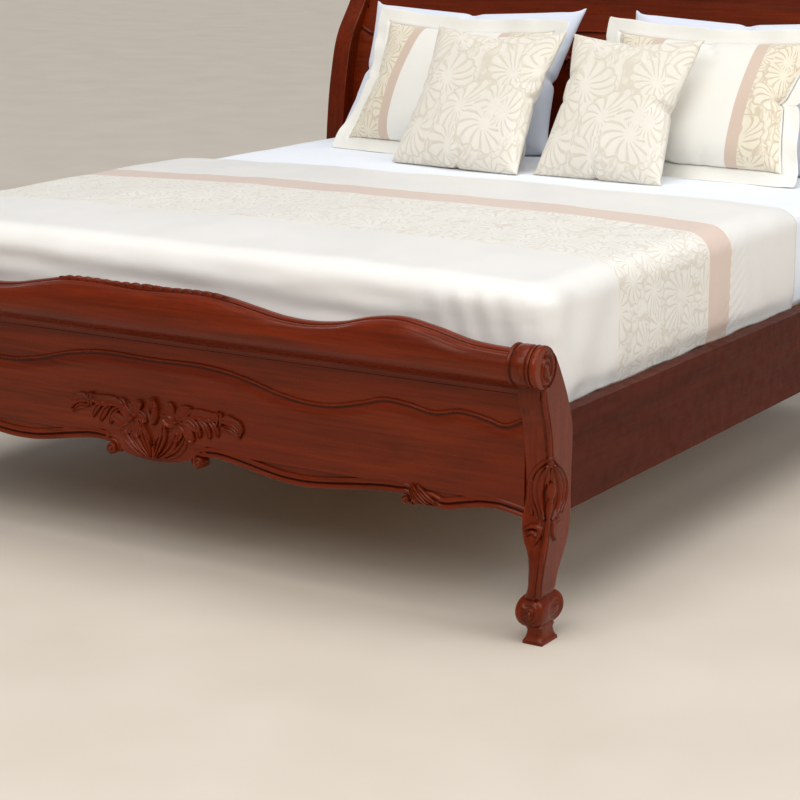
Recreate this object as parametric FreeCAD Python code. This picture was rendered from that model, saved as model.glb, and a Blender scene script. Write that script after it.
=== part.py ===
"""French sleigh bed: carved foot and headboard, plank rails, slatted base and bedding.

Millimetres. The foot end faces -Y, the head end +Y, the floor is z = 0 and x = 0 is
the middle of the bed. Lengths along the bed are first laid out from the front of the
foot post's pad (station 0) and then moved by MIDDLE, so the whole bed is centred.
"""

import FreeCAD, Part
import math
import os

V = FreeCAD.Vector
os.makedirs("parts", exist_ok=True)

# Mattress, a standard king
MATTRESS_W = 1800.0
MATTRESS_L = 2000.0
MATTRESS_T = 250.0
MATTRESS_START = 100.0
SLAT_TOP = 425.0
SHEET = 2.0

# Frame
WIDTH = 1930.0
POST_T = 58.0
DRUM_L = 65.0
FOOT_DRUM = (-4.0, 556.0, 43.0)
HEAD_DRUM = (2305.0, 1095.0, 52.0)
MIRROR = 2220.0
PANEL_FRONT = 30.0
PANEL_T = 25.0
FIELD_T = 5.0
RAIL_T = 34.0
RAIL_INSET = 3.0
RAIL_BOTTOM = 251.0
RAIL_TOP = 450.0

# Base
LEDGE = (25.0, 30.0)
SLAT_T = 20.0
SLAT_W = 90.0
SLATS = 12
BEAM = (60.0, 55.0)
HOOK = 117.0

# Bedding
CASING = 22.0
SPREAD_SIDE = 16.0
SPREAD_TOP = 712.0
SPREAD_END = 1340.0
SPREAD_HEM = 440.0
LEAN = 30.0

MIDDLE = (FOOT_DRUM[0] - FOOT_DRUM[2] + HEAD_DRUM[0] + HEAD_DRUM[2]) / 2
OUT = WIDTH / 2
POST_IN = OUT - POST_T
DRUM_IN = OUT - DRUM_L
RAIL_OUT = OUT - RAIL_INSET
RAIL_IN = RAIL_OUT - RAIL_T
LEDGE_TOP = SLAT_TOP - SLAT_T
LEG_STATIONS = (0.36 * MIRROR, 0.64 * MIRROR)
BED_TOP = SLAT_TOP + MATTRESS_T + SHEET


def save(name, shape):
    moved = shape.copy()
    moved.translate(V(0, -MIDDLE, 0))
    moved.exportStep("parts/" + name + ".step")


def box(x0, x1, y0, y1, z0, z1):
    return Part.makeBox(x1 - x0, y1 - y0, z1 - z0, V(x0, y0, z0))


def curve(points):
    spline = Part.BSplineCurve()
    spline.interpolate([V(*p) for p in points])
    return spline.toShape()


def loop(*runs):
    """A face from runs of points: a run of two is a line, a longer one a smooth curve."""
    edges = []
    for run in runs:
        if len(run) == 2:
            edges.append(Part.makeLine(V(*run[0]), V(*run[1])))
        else:
            edges.append(curve(run))
    for k, run in enumerate(runs):
        nearest = runs[(k + 1) % len(runs)][0]
        if run[-1] != nearest:
            edges.append(Part.makeLine(V(*run[-1]), V(*nearest)))
    return Part.Face(Part.Wire(Part.__sortEdges__(edges)))


def side_board(x0, x1, *runs):
    """A board cut to a (station, z) outline and extruded across the bed."""
    return loop(*[[(x0, y, z) for y, z in run] for run in runs]).extrude(V(x1 - x0, 0, 0))


def front_board(y0, y1, *runs):
    """A board cut to an (x, z) outline and extruded along the bed."""
    return loop(*[[(x, y0, z) for x, z in run] for run in runs]).extrude(V(0, y1 - y0, 0))


def both_sides(half):
    """The whole of a symmetric edge from its right half, listed from the middle out."""
    return [(-x, z) for x, z in reversed(half) if x > 0] + list(half)


def flip_x(shape):
    return shape.mirror(V(0, 0, 0), V(1, 0, 0))


def drum(x0, x1, y, z, r):
    return Part.makeCylinder(r, x1 - x0, V(x0, y, z), V(1, 0, 0))


# Outlines ------------------------------------------------------------------------

# Post seen from the side: an S that starts at the ankle and runs into the scroll.
LEG_FRONT = [(-6, 25), (-7, 100), (-1, 165), (12, 220), (26, 285), (25, 360), (15, 432), (-4, 490)]
LEG_BACK = [(50, 25), (69, 100), (84, 148), (108, 197), (116, 240), (112.5, 285), (112, 340),
            (107, 435)]
SCROLL_BACK = [(107, 435), (90, 475), (55, 537), (25, 590)]
STILE_BACK = [(15, 432), (12, 560), (2, 700), (-20, 850), (-48, 960), (-72, 1050)]
STILE_FRONT = [(107, 435), (106, 560), (98, 700), (76, 850), (36, 980), (-30, 1070), (-70, 1135)]

# Post seen from the front: distance of its inner edge from the middle of the bed.
POST_INNER = [(POST_IN, 290), (909, 238), (912, 210), (924, 184), (931, 135), (928, 105), (921, 92)]

# Half outlines of the footboard, from the middle out.
CREST = [(0, 616), (215, 616), (290, 603), (360, 591), (430, 588), (500, 595), (580, 614),
         (645, 620), (720, 609), (800, 591), (POST_IN, 584)]
BEAD = [(0, 458), (170, 457), (240, 446), (330, 424), (400, 415), (460, 417), (525, 431),
        (585, 446), (640, 443), (700, 434), (760, 444), (820, 437), (862, 429), (905, 447)]
APRON = [(120, 259), (180, 257), (250, 246), (330, 233), (400, 231), (480, 239), (560, 249),
         (625, 252)]
APRON_END = [(690, 246), (716, 235), (760, 241), (806, 251), (850, 254), (POST_IN, 245)]

# Half outlines of the headboard.
HEAD_CREST = [(0, 1200), (215, 1200), (290, 1187), (360, 1168), (430, 1160), (500, 1164),
              (580, 1176), (645, 1180), (720, 1168), (800, 1148), (POST_IN, 1138)]
HEAD_BEAD = [(0, 1012), (170, 1010), (240, 999), (330, 977), (400, 968), (460, 970),
             (525, 984), (585, 999), (640, 996), (700, 987), (760, 997), (820, 990),
             (862, 982), (905, 1000)]


def at(y):
    """A station measured back from the head end, so both ends share one outline."""
    return MIRROR - y


def turned(run):
    return [(at(y), z) for y, z in run]


# Posts ---------------------------------------------------------------------------

def foot_and_pad(sign_y, origin):
    """The ball foot with its spreading square pad, for a post whose pad starts at origin."""
    cy = origin + sign_y * 32
    middle = origin + sign_y * 45
    ball = Part.makeSphere(36, V(0, 0, 0))
    swell = FreeCAD.Matrix()
    swell.scale(V(1.18, 2.02, 1.0))
    ball = ball.transformGeometry(swell)
    ball.translate(V(OUT - 31, middle, 63))
    ball = ball.common(box(OUT - 64, OUT + 2, middle - 59, middle + 59, 0, 120))
    levels = [(0, 22.0, 32.5), (10, 20.5, 31.0), (22, 17.5, 25.0), (40, 16.5, 24.0)]
    wires = []
    for z, hx, hy in levels:
        corners = [V(OUT - 22 - hx, cy - hy, z), V(OUT - 22 + hx, cy - hy, z),
                   V(OUT - 22 + hx, cy + hy, z), V(OUT - 22 - hx, cy + hy, z)]
        wires.append(Part.makePolygon(corners + corners[:1]))
    pad = Part.makeLoft(wires, True, True)
    return ball.fuse(pad)


def front_shape(top):
    """What the post's front view keeps: full thickness above the knee, slim at the ankle."""
    inner = list(POST_INNER) + [(921, 20)]
    outer = [(OUT - 6, 20), (OUT - 6, 110), (OUT - 1, 200), (OUT, 260)]
    return front_board(-200, 2600, inner, outer, [(OUT, 260), (OUT, top)],
                       [(OUT, top), (POST_IN, top)], [(POST_IN, top), (POST_IN, 290)])


def foot_post():
    y, z, r = FOOT_DRUM
    runs = (LEG_FRONT, [LEG_FRONT[-1], (y - 5, z)], [(y - 5, z), (y + 2, z + 36)],
            [(y + 2, z + 36), SCROLL_BACK[-1]], SCROLL_BACK[::-1], LEG_BACK[::-1],
            [LEG_BACK[0], LEG_FRONT[0]])
    leg = side_board(POST_IN, OUT, *runs).common(front_shape(620))
    return leg.fuse([foot_and_pad(1, 0), drum(DRUM_IN, OUT, y, z, r)]).removeSplitter()


def head_post():
    y, z, r = HEAD_DRUM
    low_back = turned(LEG_FRONT[:-1])
    low_front = turned(LEG_BACK)
    high_back = turned(STILE_BACK)
    high_front = turned(STILE_FRONT)
    runs = (low_back, high_back, [high_back[-1], (y + 5, z)], [(y + 5, z), high_front[-1]],
            high_front[::-1], low_front[::-1], [low_front[0], low_back[0]])
    leg = side_board(POST_IN, OUT, *runs).common(front_shape(1200))
    return leg.fuse([foot_and_pad(-1, MIRROR), drum(DRUM_IN, OUT, y, z, r)]).removeSplitter()


def roundel(y, z, r, facing):
    """The carved disc that closes the end of a scroll: a rim, a hollow and an eye."""
    disc = drum(OUT, OUT + 3, y, z, r - 3)
    hollow = drum(OUT + 1, OUT + 3, y, z, r - 9)
    ring = drum(OUT + 1, OUT + 3, y, z, r - 17).cut(drum(OUT + 1, OUT + 3, y, z, r - 23))
    eye = drum(OUT + 1, OUT + 3, y + facing * 2, z, 7)
    return disc.cut(hollow).fuse([ring, eye])


# Footboard -----------------------------------------------------------------------

def apron_line(knob):
    """Lower edge from the cartouche out to the post, dipping under the small side scroll."""
    return APRON + [(knob, 250), (665, 252)] + APRON_END


def foot_panel():
    half = apron_line(645)
    left = [(-x, z) for x, z in reversed(half)]
    return front_board(PANEL_FRONT, PANEL_FRONT + PANEL_T,
                       [(-POST_IN, 488), (POST_IN, 488)], [(POST_IN, 488), (POST_IN, 245)],
                       half[::-1], [(120, 259), (-120, 259)], left[::-1],
                       [(-POST_IN, 245), (-POST_IN, 488)])


def between_drums(rail, centre):
    """A top rail trimmed at both ends to butt against the turned drums of its posts."""
    end = drum(DRUM_IN, OUT, *centre)
    return rail.cut(end).cut(flip_x(end))


def foot_roll():
    """The rolled top rail, cut to the serpentine crest."""
    runs = ([(30, 488), (26, 500), (6, 512), (-20, 521)],
            [(-20, 521), (-38, 534), (-43, 556), (-36, 582), (-22, 600)],
            [(-22, 600), (-16, 640)], [(-16, 640), (12, 640)],
            [(12, 640), (26, 596), (44, 545), (55, 488)], [(55, 488), (30, 488)])
    rail = side_board(-POST_IN, POST_IN, *runs)
    top = both_sides(CREST)
    keep = front_board(-80, 90, top, [CREST[-1], (POST_IN, 400)], [(POST_IN, 400), (-POST_IN, 400)],
                       [(-POST_IN, 400), top[0]])
    return between_drums(rail.common(keep), FOOT_DRUM)


def foot_field():
    """Raised lower field: its upper edge carries the bead, its lower edge follows the apron."""
    half = [(x, z + 24) for x, z in apron_line(645)]
    edge = [(x, z) for x, z in BEAD[:-1]] + [(POST_IN, 446)]
    left = [(-x, z) for x, z in reversed(half)]
    return front_board(PANEL_FRONT - FIELD_T, PANEL_FRONT,
                       both_sides(edge), [(POST_IN, 446), (POST_IN, 269)],
                       half[::-1], [(120, 283), (-120, 283)], left[::-1],
                       [(-POST_IN, 269), (-POST_IN, 446)])


def apron_moulding():
    """The bead and cove that run along the lower edge, from the side of the cartouche out."""
    low = apron_line(645)
    high = [(x, z + 23) for x, z in low]
    strip = front_board(PANEL_FRONT - 9, PANEL_FRONT, high, [high[-1], low[-1]], low[::-1],
                        [low[0], high[0]])
    return strip


def side_scroll():
    """The small snail and folded leaf where the apron breaks."""
    knob = Part.makeCylinder(10, 13, V(634, PANEL_FRONT - 13, 240), V(0, 1, 0))
    leaf = front_board(PANEL_FRONT - 13, PANEL_FRONT - 9.2,
                       [(634, 238), (650, 236), (672, 243), (694, 240)],
                       [(694, 240), (700, 262)], [(700, 262), (670, 272), (634, 262)],
                       [(634, 262), (634, 238)])
    return knob.cut(apron_moulding()).cut(foot_panel()).fuse(leaf).removeSplitter()


def cartouche_outline():
    """Half outline of the flower carving: from its tip up to the end of its side spray."""
    lower = [(0, 229), (40, 233), (86, 243), (119, 262), (150, 286)]
    under = [(150, 286), (190, 312), (236, 318)]
    over = [(238, 340), (190, 352), (110, 362), (52, 374), (0, 380)]
    return lower, under, over


def cartouche_board(y0, y1, lift):
    lower, under, over = cartouche_outline()
    runs = []
    for sign in (1, -1):
        for run in (lower, under, over):
            runs.append([(sign * x, z + lift) for x, z in run])
    right = [runs[0], runs[1], [runs[1][-1], runs[2][0]], runs[2]]
    left = [runs[5][::-1], [runs[5][0], runs[4][-1]], runs[4][::-1], runs[3][::-1]]
    return front_board(y0, y1, *(right + left))


def foot_cartouche():
    body = cartouche_board(PANEL_FRONT - 20, PANEL_FRONT + 18, 0)
    for snail in (-1, 1):
        body = body.fuse(Part.makeCylinder(15, 38, V(snail * 117, PANEL_FRONT - 20, 243),
                                           V(0, 1, 0)))
    taken = foot_panel().fuse([foot_field(), apron_moulding(), flip_x(apron_moulding())])
    return body.cut(taken)


def crest_carving(top, y0, y1):
    """Leaf strip let into the top of the crest."""
    edge = [(225, top - 1), (150, top + 7), (60, top + 6), (0, top + 9), (-60, top + 6),
            (-150, top + 7), (-225, top - 1)]
    return front_board(y0, y1, edge, [(-225, top - 1), (-225, top - 4)],
                       [(-225, top - 4), (225, top - 4)], [(225, top - 4), (225, top - 1)])


# Headboard -----------------------------------------------------------------------

HEAD_FACE = [(55, 430), (55, 560), (48, 700), (28, 850), (-5, 970), (-42, 1050)]
HEAD_EDGE = HEAD_BEAD[:-1] + [(POST_IN, 999)]


def head_skin(x0, x1, near, far, z0=430.0, run=HEAD_FACE):
    """A curved board that follows the headboard's face, between two distances from it."""
    front = [(at(y + near), z) for y, z in run]
    back = [(at(y + far), z) for y, z in run]
    return side_board(x0, x1, front, back[::-1])


def head_panel():
    low = box(-POST_IN, POST_IN, at(55), at(55 - PANEL_T), 425, 430)
    board = head_skin(-POST_IN, POST_IN, 0, -PANEL_T).fuse(low).removeSplitter()
    return between_drums(board, HEAD_DRUM)


def head_roll():
    runs = ([(-42, 1050), (-48, 1062), (-64, 1110), (-62, 1160)],
            [(-62, 1160), (-62, 1230)], [(-62, 1230), (-100, 1230)],
            [(-100, 1230), (-108, 1160), (-130, 1128), (-137, 1095), (-122, 1062), (-100, 1050)],
            [(-100, 1050), (-80, 1046), (-67, 1050)], [(-67, 1050), (-42, 1050)])
    rail = side_board(-POST_IN, POST_IN, *[turned(run) for run in runs])
    top = both_sides(HEAD_CREST)
    keep = front_board(2100, 2500, top, [HEAD_CREST[-1], (POST_IN, 1000)],
                       [(POST_IN, 1000), (-POST_IN, 1000)], [(-POST_IN, 1000), top[0]])
    return between_drums(rail.common(keep), HEAD_DRUM)


def head_field():
    skin = head_skin(-POST_IN, POST_IN, FIELD_T, 0)
    top = both_sides(HEAD_EDGE)
    keep = front_board(2000, 2400, top, [HEAD_EDGE[-1], (POST_IN, 640)],
                       [(POST_IN, 640), (-POST_IN, 640)], [(-POST_IN, 640), top[0]])
    return skin.common(keep)


def head_cartouche():
    skin = head_skin(-300, 300, 20, FIELD_T)
    return skin.common(cartouche_board(2000, 2400, 590))


def lower_rail():
    return box(-POST_IN, POST_IN, at(60), at(30), RAIL_BOTTOM, 425)


# Side rails, base ------------------------------------------------------------------

def side_rail(front, back):
    plank = box(RAIL_IN, RAIL_OUT, 100, MIRROR - 100, RAIL_BOTTOM, RAIL_TOP)
    return plank.cut(front).cut(back).cut(rail_screws())


def ledge():
    return box(RAIL_IN - LEDGE[0], RAIL_IN, 150, MIRROR - 150, LEDGE_TOP - LEDGE[1], LEDGE_TOP)


def slat_station(k):
    first = 150 + SLAT_W / 2
    last = MIRROR - 150 - SLAT_W / 2
    return first + (last - first) * k / (SLATS - 1)


def slat(k):
    y = slat_station(k)
    return box(-RAIL_IN + 3, RAIL_IN - 3, y - SLAT_W / 2, y + SLAT_W / 2, LEDGE_TOP, SLAT_TOP)


def centre_beam():
    return box(-BEAM[0] / 2, BEAM[0] / 2, 58, MIRROR - 63, LEDGE_TOP - BEAM[1], LEDGE_TOP)


def beam_shoes():
    """U-shaped steel shoes that carry the beam on the two end boards."""
    shoes = []
    for y0, y1 in ((55, 58), (MIRROR - 63, MIRROR - 60)):
        plate = box(-45, 45, y0, y1, LEDGE_TOP - BEAM[1] - 8, LEDGE_TOP - 6)
        inward = 1 if y0 < 1000 else -1
        s0 = y1 if inward > 0 else y0 - 40
        s1 = y1 + 40 if inward > 0 else y0
        tray = box(-34, 34, s0, s1, LEDGE_TOP - BEAM[1] - 4, LEDGE_TOP - BEAM[1])
        cheeks = [box(side - 1.5, side + 1.5, s0, s1, LEDGE_TOP - BEAM[1], LEDGE_TOP - 20)
                  for side in (-32.5, 32.5)]
        shoes.append(plate.fuse([tray] + cheeks))
    return Part.makeCompound(shoes)


def centre_leg(y):
    return box(-22, 22, y - 22, y + 22, 12, LEDGE_TOP - BEAM[1])


def glides():
    return Part.makeCompound([Part.makeCylinder(18, 12, V(0, y, 0)) for y in LEG_STATIONS])


def rail_screws():
    """Two screws through each rail hook into the inner face of the rail."""
    screws = []
    for y in (HOOK + 22.5, MIRROR - HOOK - 22.5):
        for z in (305, 350):
            shank = Part.makeCylinder(3, 22, V(RAIL_IN - 2, y, z), V(1, 0, 0))
            head = Part.makeCylinder(6, 2.5, V(RAIL_IN - 4.5, y, z), V(1, 0, 0))
            screws.append(shank.fuse(head))
    return Part.makeCompound(screws + [flip_x(s) for s in screws])


def hook_plates():
    """Steel corner plates that tie each rail to its post."""
    plates = []
    for y0, y1 in ((HOOK, HOOK + 3), (MIRROR - HOOK - 3, MIRROR - HOOK)):
        near, far = (y0, y0 + 45) if y0 < 1000 else (y1 - 45, y1)
        strap = box(RAIL_IN - 2, RAIL_IN, near, far, 290, 365)
        tongue = box(POST_IN + 1, RAIL_IN, y0, y1, 290, 365)
        holes = [Part.makeCylinder(3.1, 6, V(RAIL_IN - 4, (near + far) / 2, z), V(1, 0, 0))
                 for z in (305, 350)]
        plates.append(strap.fuse(tongue).cut(Part.makeCompound(holes)))
    return Part.makeCompound(plates + [flip_x(p) for p in plates])


# Bedding ---------------------------------------------------------------------------

def rounded_slab(x, y0, y1, z0, z1, r):
    slab = box(-x, x, y0, y1, z0, z1)
    corners = [e for e in slab.Edges if abs(e.tangentAt(e.FirstParameter).z) > 0.9]
    return slab.makeFillet(r, corners)


def mattress():
    """Quilted casing; the closed space inside it is the sprung core, which is mostly air."""
    x = MATTRESS_W / 2
    y0 = MATTRESS_START
    y1 = y0 + MATTRESS_L
    z1 = SLAT_TOP + MATTRESS_T
    t = CASING
    core = rounded_slab(x - t, y0 + t, y1 - t, SLAT_TOP + t, z1 - t, 40 - t)
    return rounded_slab(x, y0, y1, SLAT_TOP, z1, 40).cut(core)


def fitted_sheet():
    """Sheet drawn over the top and down the four sides of the mattress."""
    x = MATTRESS_W / 2
    y0 = MATTRESS_START
    y1 = y0 + MATTRESS_L
    outer = rounded_slab(x + SHEET, y0 - SHEET, y1 + SHEET, SLAT_TOP + 15, BED_TOP, 42)
    return outer.cut(rounded_slab(x + 0.3, y0 - 0.3, y1 + 0.3, 0, BED_TOP - SHEET + 0.3, 40.3))


def bedspread():
    """Spread over the foot two thirds: down both sides and over the foot end."""
    x = MATTRESS_W / 2 + SHEET + 0.5
    y0 = MATTRESS_START - SHEET - 0.5
    outer = rounded_slab(x + SPREAD_SIDE, y0 - SPREAD_SIDE + 3, SPREAD_END + 300, SPREAD_HEM,
                         SPREAD_TOP, 58)
    inner = rounded_slab(x, y0, SPREAD_END + 400, 0, BED_TOP + 0.5, 42.5)
    return outer.cut(inner).cut(box(-1000, 1000, SPREAD_END, 2500, 0, 900))


def pillow(width, height, thick, x, y, z, lean, turn=0.0, seam=12.0):
    """A stuffed cushion, the overlap of two lens sections, leaning back on its lower edge
    and turned a little about the vertical.

    The closed space inside the cover is the loose filling.
    """
    def lens(half):
        t = thick / 2
        s = seam / 2
        top = Part.Arc(V(-half, s, 0), V(0, t, 0), V(half, s, 0)).toShape()
        low = Part.Arc(V(half, -s, 0), V(0, -t, 0), V(-half, -s, 0)).toShape()
        ends = [Part.makeLine(V(half, s, 0), V(half, -s, 0)),
                Part.makeLine(V(-half, -s, 0), V(-half, s, 0))]
        return Part.Face(Part.Wire(Part.__sortEdges__([top, low] + ends)))

    across = lens(width / 2).extrude(V(0, 0, height))
    across.translate(V(0, 0, -height / 2))
    upright = lens(height / 2).extrude(V(0, 0, width))
    upright.translate(V(0, 0, -width / 2))
    upright.rotate(V(0, 0, 0), V(0, 1, 0), 90)
    body = across.common(upright)
    filling = body.copy()
    filling.scale(0.93)
    body = body.cut(filling)
    body.translate(V(0, 0, height / 2))
    body.rotate(V(0, 0, 0), V(1, 0, 0), -lean)
    body.rotate(V(0, 0, 0), V(0, 0, 1), turn)
    lowest = body.optimalBoundingBox(False).ZMin
    body.translate(V(x, y, z - lowest))
    return body


# Build -------------------------------------------------------------------------------

def pair(name, shape):
    save(name + "_right", shape)
    save(name + "_left", flip_x(shape))


post_foot = foot_post()
post_head = head_post()
pair("foot_post", post_foot)
pair("head_post", post_head)
pair("foot_roundel", roundel(*FOOT_DRUM, -1))
pair("head_roundel", roundel(*HEAD_DRUM, 1))

save("foot_panel", foot_panel())
save("foot_roll", foot_roll())
save("foot_field", foot_field())
pair("foot_apron_moulding", apron_moulding())
pair("foot_apron_scroll", side_scroll())
save("foot_cartouche", foot_cartouche())
save("foot_crest_carving", crest_carving(616.5, -14, 4).cut(foot_roll()))

save("head_panel", head_panel())
save("head_roll", head_roll())
save("head_field", head_field())
save("head_cartouche", head_cartouche())
save("head_lower_rail", lower_rail())
save("head_crest_carving", crest_carving(1200.5, at(-66), at(-96)).cut(head_roll()))

pair("side_rail", side_rail(post_foot, post_head))
pair("slat_ledge", ledge())
save("rail_hook_plates", hook_plates())
save("rail_screws", rail_screws())
for k in range(SLATS):
    save("slat_%02d" % (k + 1), slat(k))
save("centre_beam", centre_beam())
save("centre_beam_shoes", beam_shoes())
for k, y in enumerate(LEG_STATIONS):
    save("centre_leg_%d" % (k + 1), centre_leg(y))
save("centre_leg_glides", glides())

save("mattress", mattress())
save("fitted_sheet", fitted_sheet())
save("bedspread", bedspread())

TOP = BED_TOP + 1
save("pillow_left", pillow(730, 480, 150, -430, 1908, TOP, LEAN))
save("pillow_right", pillow(730, 480, 150, 440, 1908, TOP, LEAN))
save("sham_left", pillow(700, 470, 130, -382, 1722, TOP, LEAN, -7))
save("sham_right", pillow(700, 470, 130, 415, 1705, TOP, LEAN, -2))
save("cushion_left", pillow(432, 440, 120, -180, 1552, TOP, LEAN, -8))
save("cushion_right", pillow(392, 430, 118, 268, 1552, TOP, LEAN, -3))
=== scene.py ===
"""French sleigh bed: carved mahogany foot and headboard, plank rails, slatted base, bedding.

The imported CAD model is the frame. Lengths in this file are millimetres: x across the bed
from its middle, station along it from the front of the foot posts' pads, z up from the
floor. place() turns them into the frame's metres.
"""
import math

import bmesh
import bpy
import numpy as np
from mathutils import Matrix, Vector


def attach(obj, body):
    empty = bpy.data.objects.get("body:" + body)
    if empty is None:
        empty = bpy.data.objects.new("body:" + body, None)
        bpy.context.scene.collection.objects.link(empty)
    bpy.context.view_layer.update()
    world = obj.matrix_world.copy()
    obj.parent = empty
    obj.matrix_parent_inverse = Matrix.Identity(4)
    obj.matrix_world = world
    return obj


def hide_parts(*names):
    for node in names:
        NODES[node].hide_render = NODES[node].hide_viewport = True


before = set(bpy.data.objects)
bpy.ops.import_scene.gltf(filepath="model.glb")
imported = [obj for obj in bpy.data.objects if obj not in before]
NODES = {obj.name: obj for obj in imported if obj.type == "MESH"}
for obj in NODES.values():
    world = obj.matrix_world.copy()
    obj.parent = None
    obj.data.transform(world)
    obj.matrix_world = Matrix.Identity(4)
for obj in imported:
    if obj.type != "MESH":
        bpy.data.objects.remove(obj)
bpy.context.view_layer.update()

MIDDLE = 1155.0          # station of the middle of the bed
MIRROR = 2220.0          # the head posts are the foot posts' legs turned about half of this
OUT, POST_IN, DRUM_IN = 965.0, 907.0, 900.0
PANEL, FIELD = 30.0, 25.0   # stations of the panel's face and of the raised field's face


# Curves and meshes ---------------------------------------------------------------

def graph(points):
    """Smooth function through (a, b) points."""
    x, y = np.array(points, float).T
    step = np.diff(x)
    slope = np.diff(y) / step
    inner = (slope[:-1] * step[1:] + slope[1:] * step[:-1]) / (step[1:] + step[:-1])
    m = np.concatenate([[slope[0]], inner, [slope[-1]]])

    def value(t):
        t = np.clip(np.asarray(t, float), x[0], x[-1])
        k = np.clip(np.searchsorted(x, t) - 1, 0, len(x) - 2)
        h = step[k]
        s = (t - x[k]) / h
        return ((2 * s**3 - 3 * s**2 + 1) * y[k] + (s**3 - 2 * s**2 + s) * h * m[k]
                + (3 * s**2 - 2 * s**3) * y[k + 1] + (s**3 - s**2) * h * m[k + 1])
    return value


def smooth_line(points, n):
    """Points along a smooth curve through the given ones, n to each span."""
    p = np.array(points, float)
    a = np.vstack([2 * p[0] - p[1], p, 2 * p[-1] - p[-2]])
    t = np.linspace(0, 1, n, endpoint=False)[:, None]
    out = []
    for p0, p1, p2, p3 in zip(a, a[1:], a[2:], a[3:]):
        out.append(0.5 * (2 * p1 + (p2 - p0) * t + (2 * p0 - 5 * p1 + 4 * p2 - p3) * t**2
                          + (3 * p1 - p0 - 3 * p2 + p3) * t**3))
    return np.vstack(out + [p[-1:]])


def fade(t, a, b):
    """0 before a, 1 after b, smooth between."""
    s = np.clip((np.asarray(t, float) - a) / (b - a), 0, 1)
    return s * s * (3 - 2 * s)


def place(points):
    """Millimetres in this file's axes as metres in the frame's."""
    p = np.asarray(points, float).reshape(-1, 3) / 1000
    return p - np.array([0, MIDDLE / 1000, 0])


def tube(rows, painted_shade=None):
    """Closed skin over rows of closed sections, shape (rows, around, 3), with an optional painted
    shade for each point.
    """
    r, c = rows.shape[:2]
    idx = np.arange(r * c).reshape(r, c)
    nxt = np.roll(idx, -1, 1)
    quads = np.stack([idx[:-1], nxt[:-1], nxt[1:], idx[1:]], -1).reshape(-1, 4).tolist()
    quads += [idx[0][::-1].tolist(), idx[-1].tolist()]
    return rows.reshape(-1, 3), quads, np.zeros(r * c) if painted_shade is None else painted_shade.ravel()


def slab(front, back, painted_shade=None):
    """Closed skin between two matching grids of points, with an optional painted shade for the
    front grid's points.
    """
    r, c = front.shape[:2]
    f = np.arange(r * c).reshape(r, c)
    b = f + r * c
    quads = np.stack([f[:-1, :-1], f[:-1, 1:], f[1:, 1:], f[1:, :-1]], -1).reshape(-1, 4)
    rim = np.concatenate([f[0, :-1], f[:-1, -1], f[-1, :0:-1], f[:0:-1, 0]])
    rim2 = np.roll(rim, -1)
    walls = np.stack([rim2, rim, rim + r * c, rim2 + r * c], -1)
    polys = np.vstack([quads, quads[:, ::-1] + r * c, walls]).tolist()
    shade_paint = np.zeros(r * c) if painted_shade is None else painted_shade.ravel()
    return (np.vstack([front.reshape(-1, 3), back.reshape(-1, 3)]), polys,
            np.concatenate([shade_paint, shade_paint * 0]))


def mirror(shell):
    """The same shell on the left."""
    return shell[0] * np.array([-1, 1, 1]), shell[1], shell[2]


def turned(shell):
    """The same shell at the head end."""
    return np.array([0, MIRROR, 0]) + shell[0] * np.array([1, -1, 1]), shell[1], shell[2]


def hollow_shade(h, reach=3, depth=2.0):
    """Painted shade for each point of a height grid, by how far it lies under its blurred
    surroundings: 0 on open ground, 1 in a deep groove.
    """
    blur = h.copy()
    for _ in range(reach):
        padded = np.pad(blur, 1, mode="edge")
        blur = (padded[:-2, 1:-1] + padded[2:, 1:-1] + padded[1:-1, :-2]
                + padded[1:-1, 2:] + padded[1:-1, 1:-1]) / 5
    return np.clip((blur - h) / depth, 0, 1)


def piece(name, shells, grain, replaces, sharp):
    """A carved piece of the frame from closed shells: points, polygons, and the painted shade each
    point gets in grooves and recesses.

    grain is the axis its wood runs along. Edges keener than sharp degrees stay crisp.
    """
    co, polys, shade_paint, first = [], [], [], 0
    for points, faces, groove_shade in shells:
        co.append(points)
        polys += [[i + first for i in f] for f in faces]
        shade_paint.append(groove_shade)
        first += len(points)
    mesh = bpy.data.meshes.new(name)
    mesh.from_pydata(place(np.vstack(co)).tolist(), [], polys)
    bm = bmesh.new()
    bm.from_mesh(mesh)
    bmesh.ops.recalc_face_normals(bm, faces=bm.faces)
    bm.to_mesh(mesh)
    bm.free()
    mesh.polygons.foreach_set("use_smooth", [True] * len(mesh.polygons))
    mesh.set_sharp_from_angle(angle=math.radians(sharp))
    attribute = mesh.attributes.new("painted_shade", "FLOAT", "POINT")
    attribute.data.foreach_set("value", np.concatenate(shade_paint).astype(np.float32))
    mesh.materials.append(mahogany[grain])
    obj = bpy.data.objects.new(name, mesh)
    bpy.context.scene.collection.objects.link(obj)
    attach(obj, "frame")
    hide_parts(*replaces)


# Carving -------------------------------------------------------------------------

SECTIONS = {
    "round": lambda q: np.sqrt(1 - q**2),
    "leaf": lambda q: np.sqrt(1 - q**2) * (1 - 0.55 * np.exp(-(q / 0.25) ** 2)),
    "petal": lambda q: (0.42 + 0.58 * q**2) * np.sqrt(1 - q**6),
    "ridge": lambda q: (1 - q) ** 0.8,
    "cut": lambda q: -(1 - q**2),
}


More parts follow.
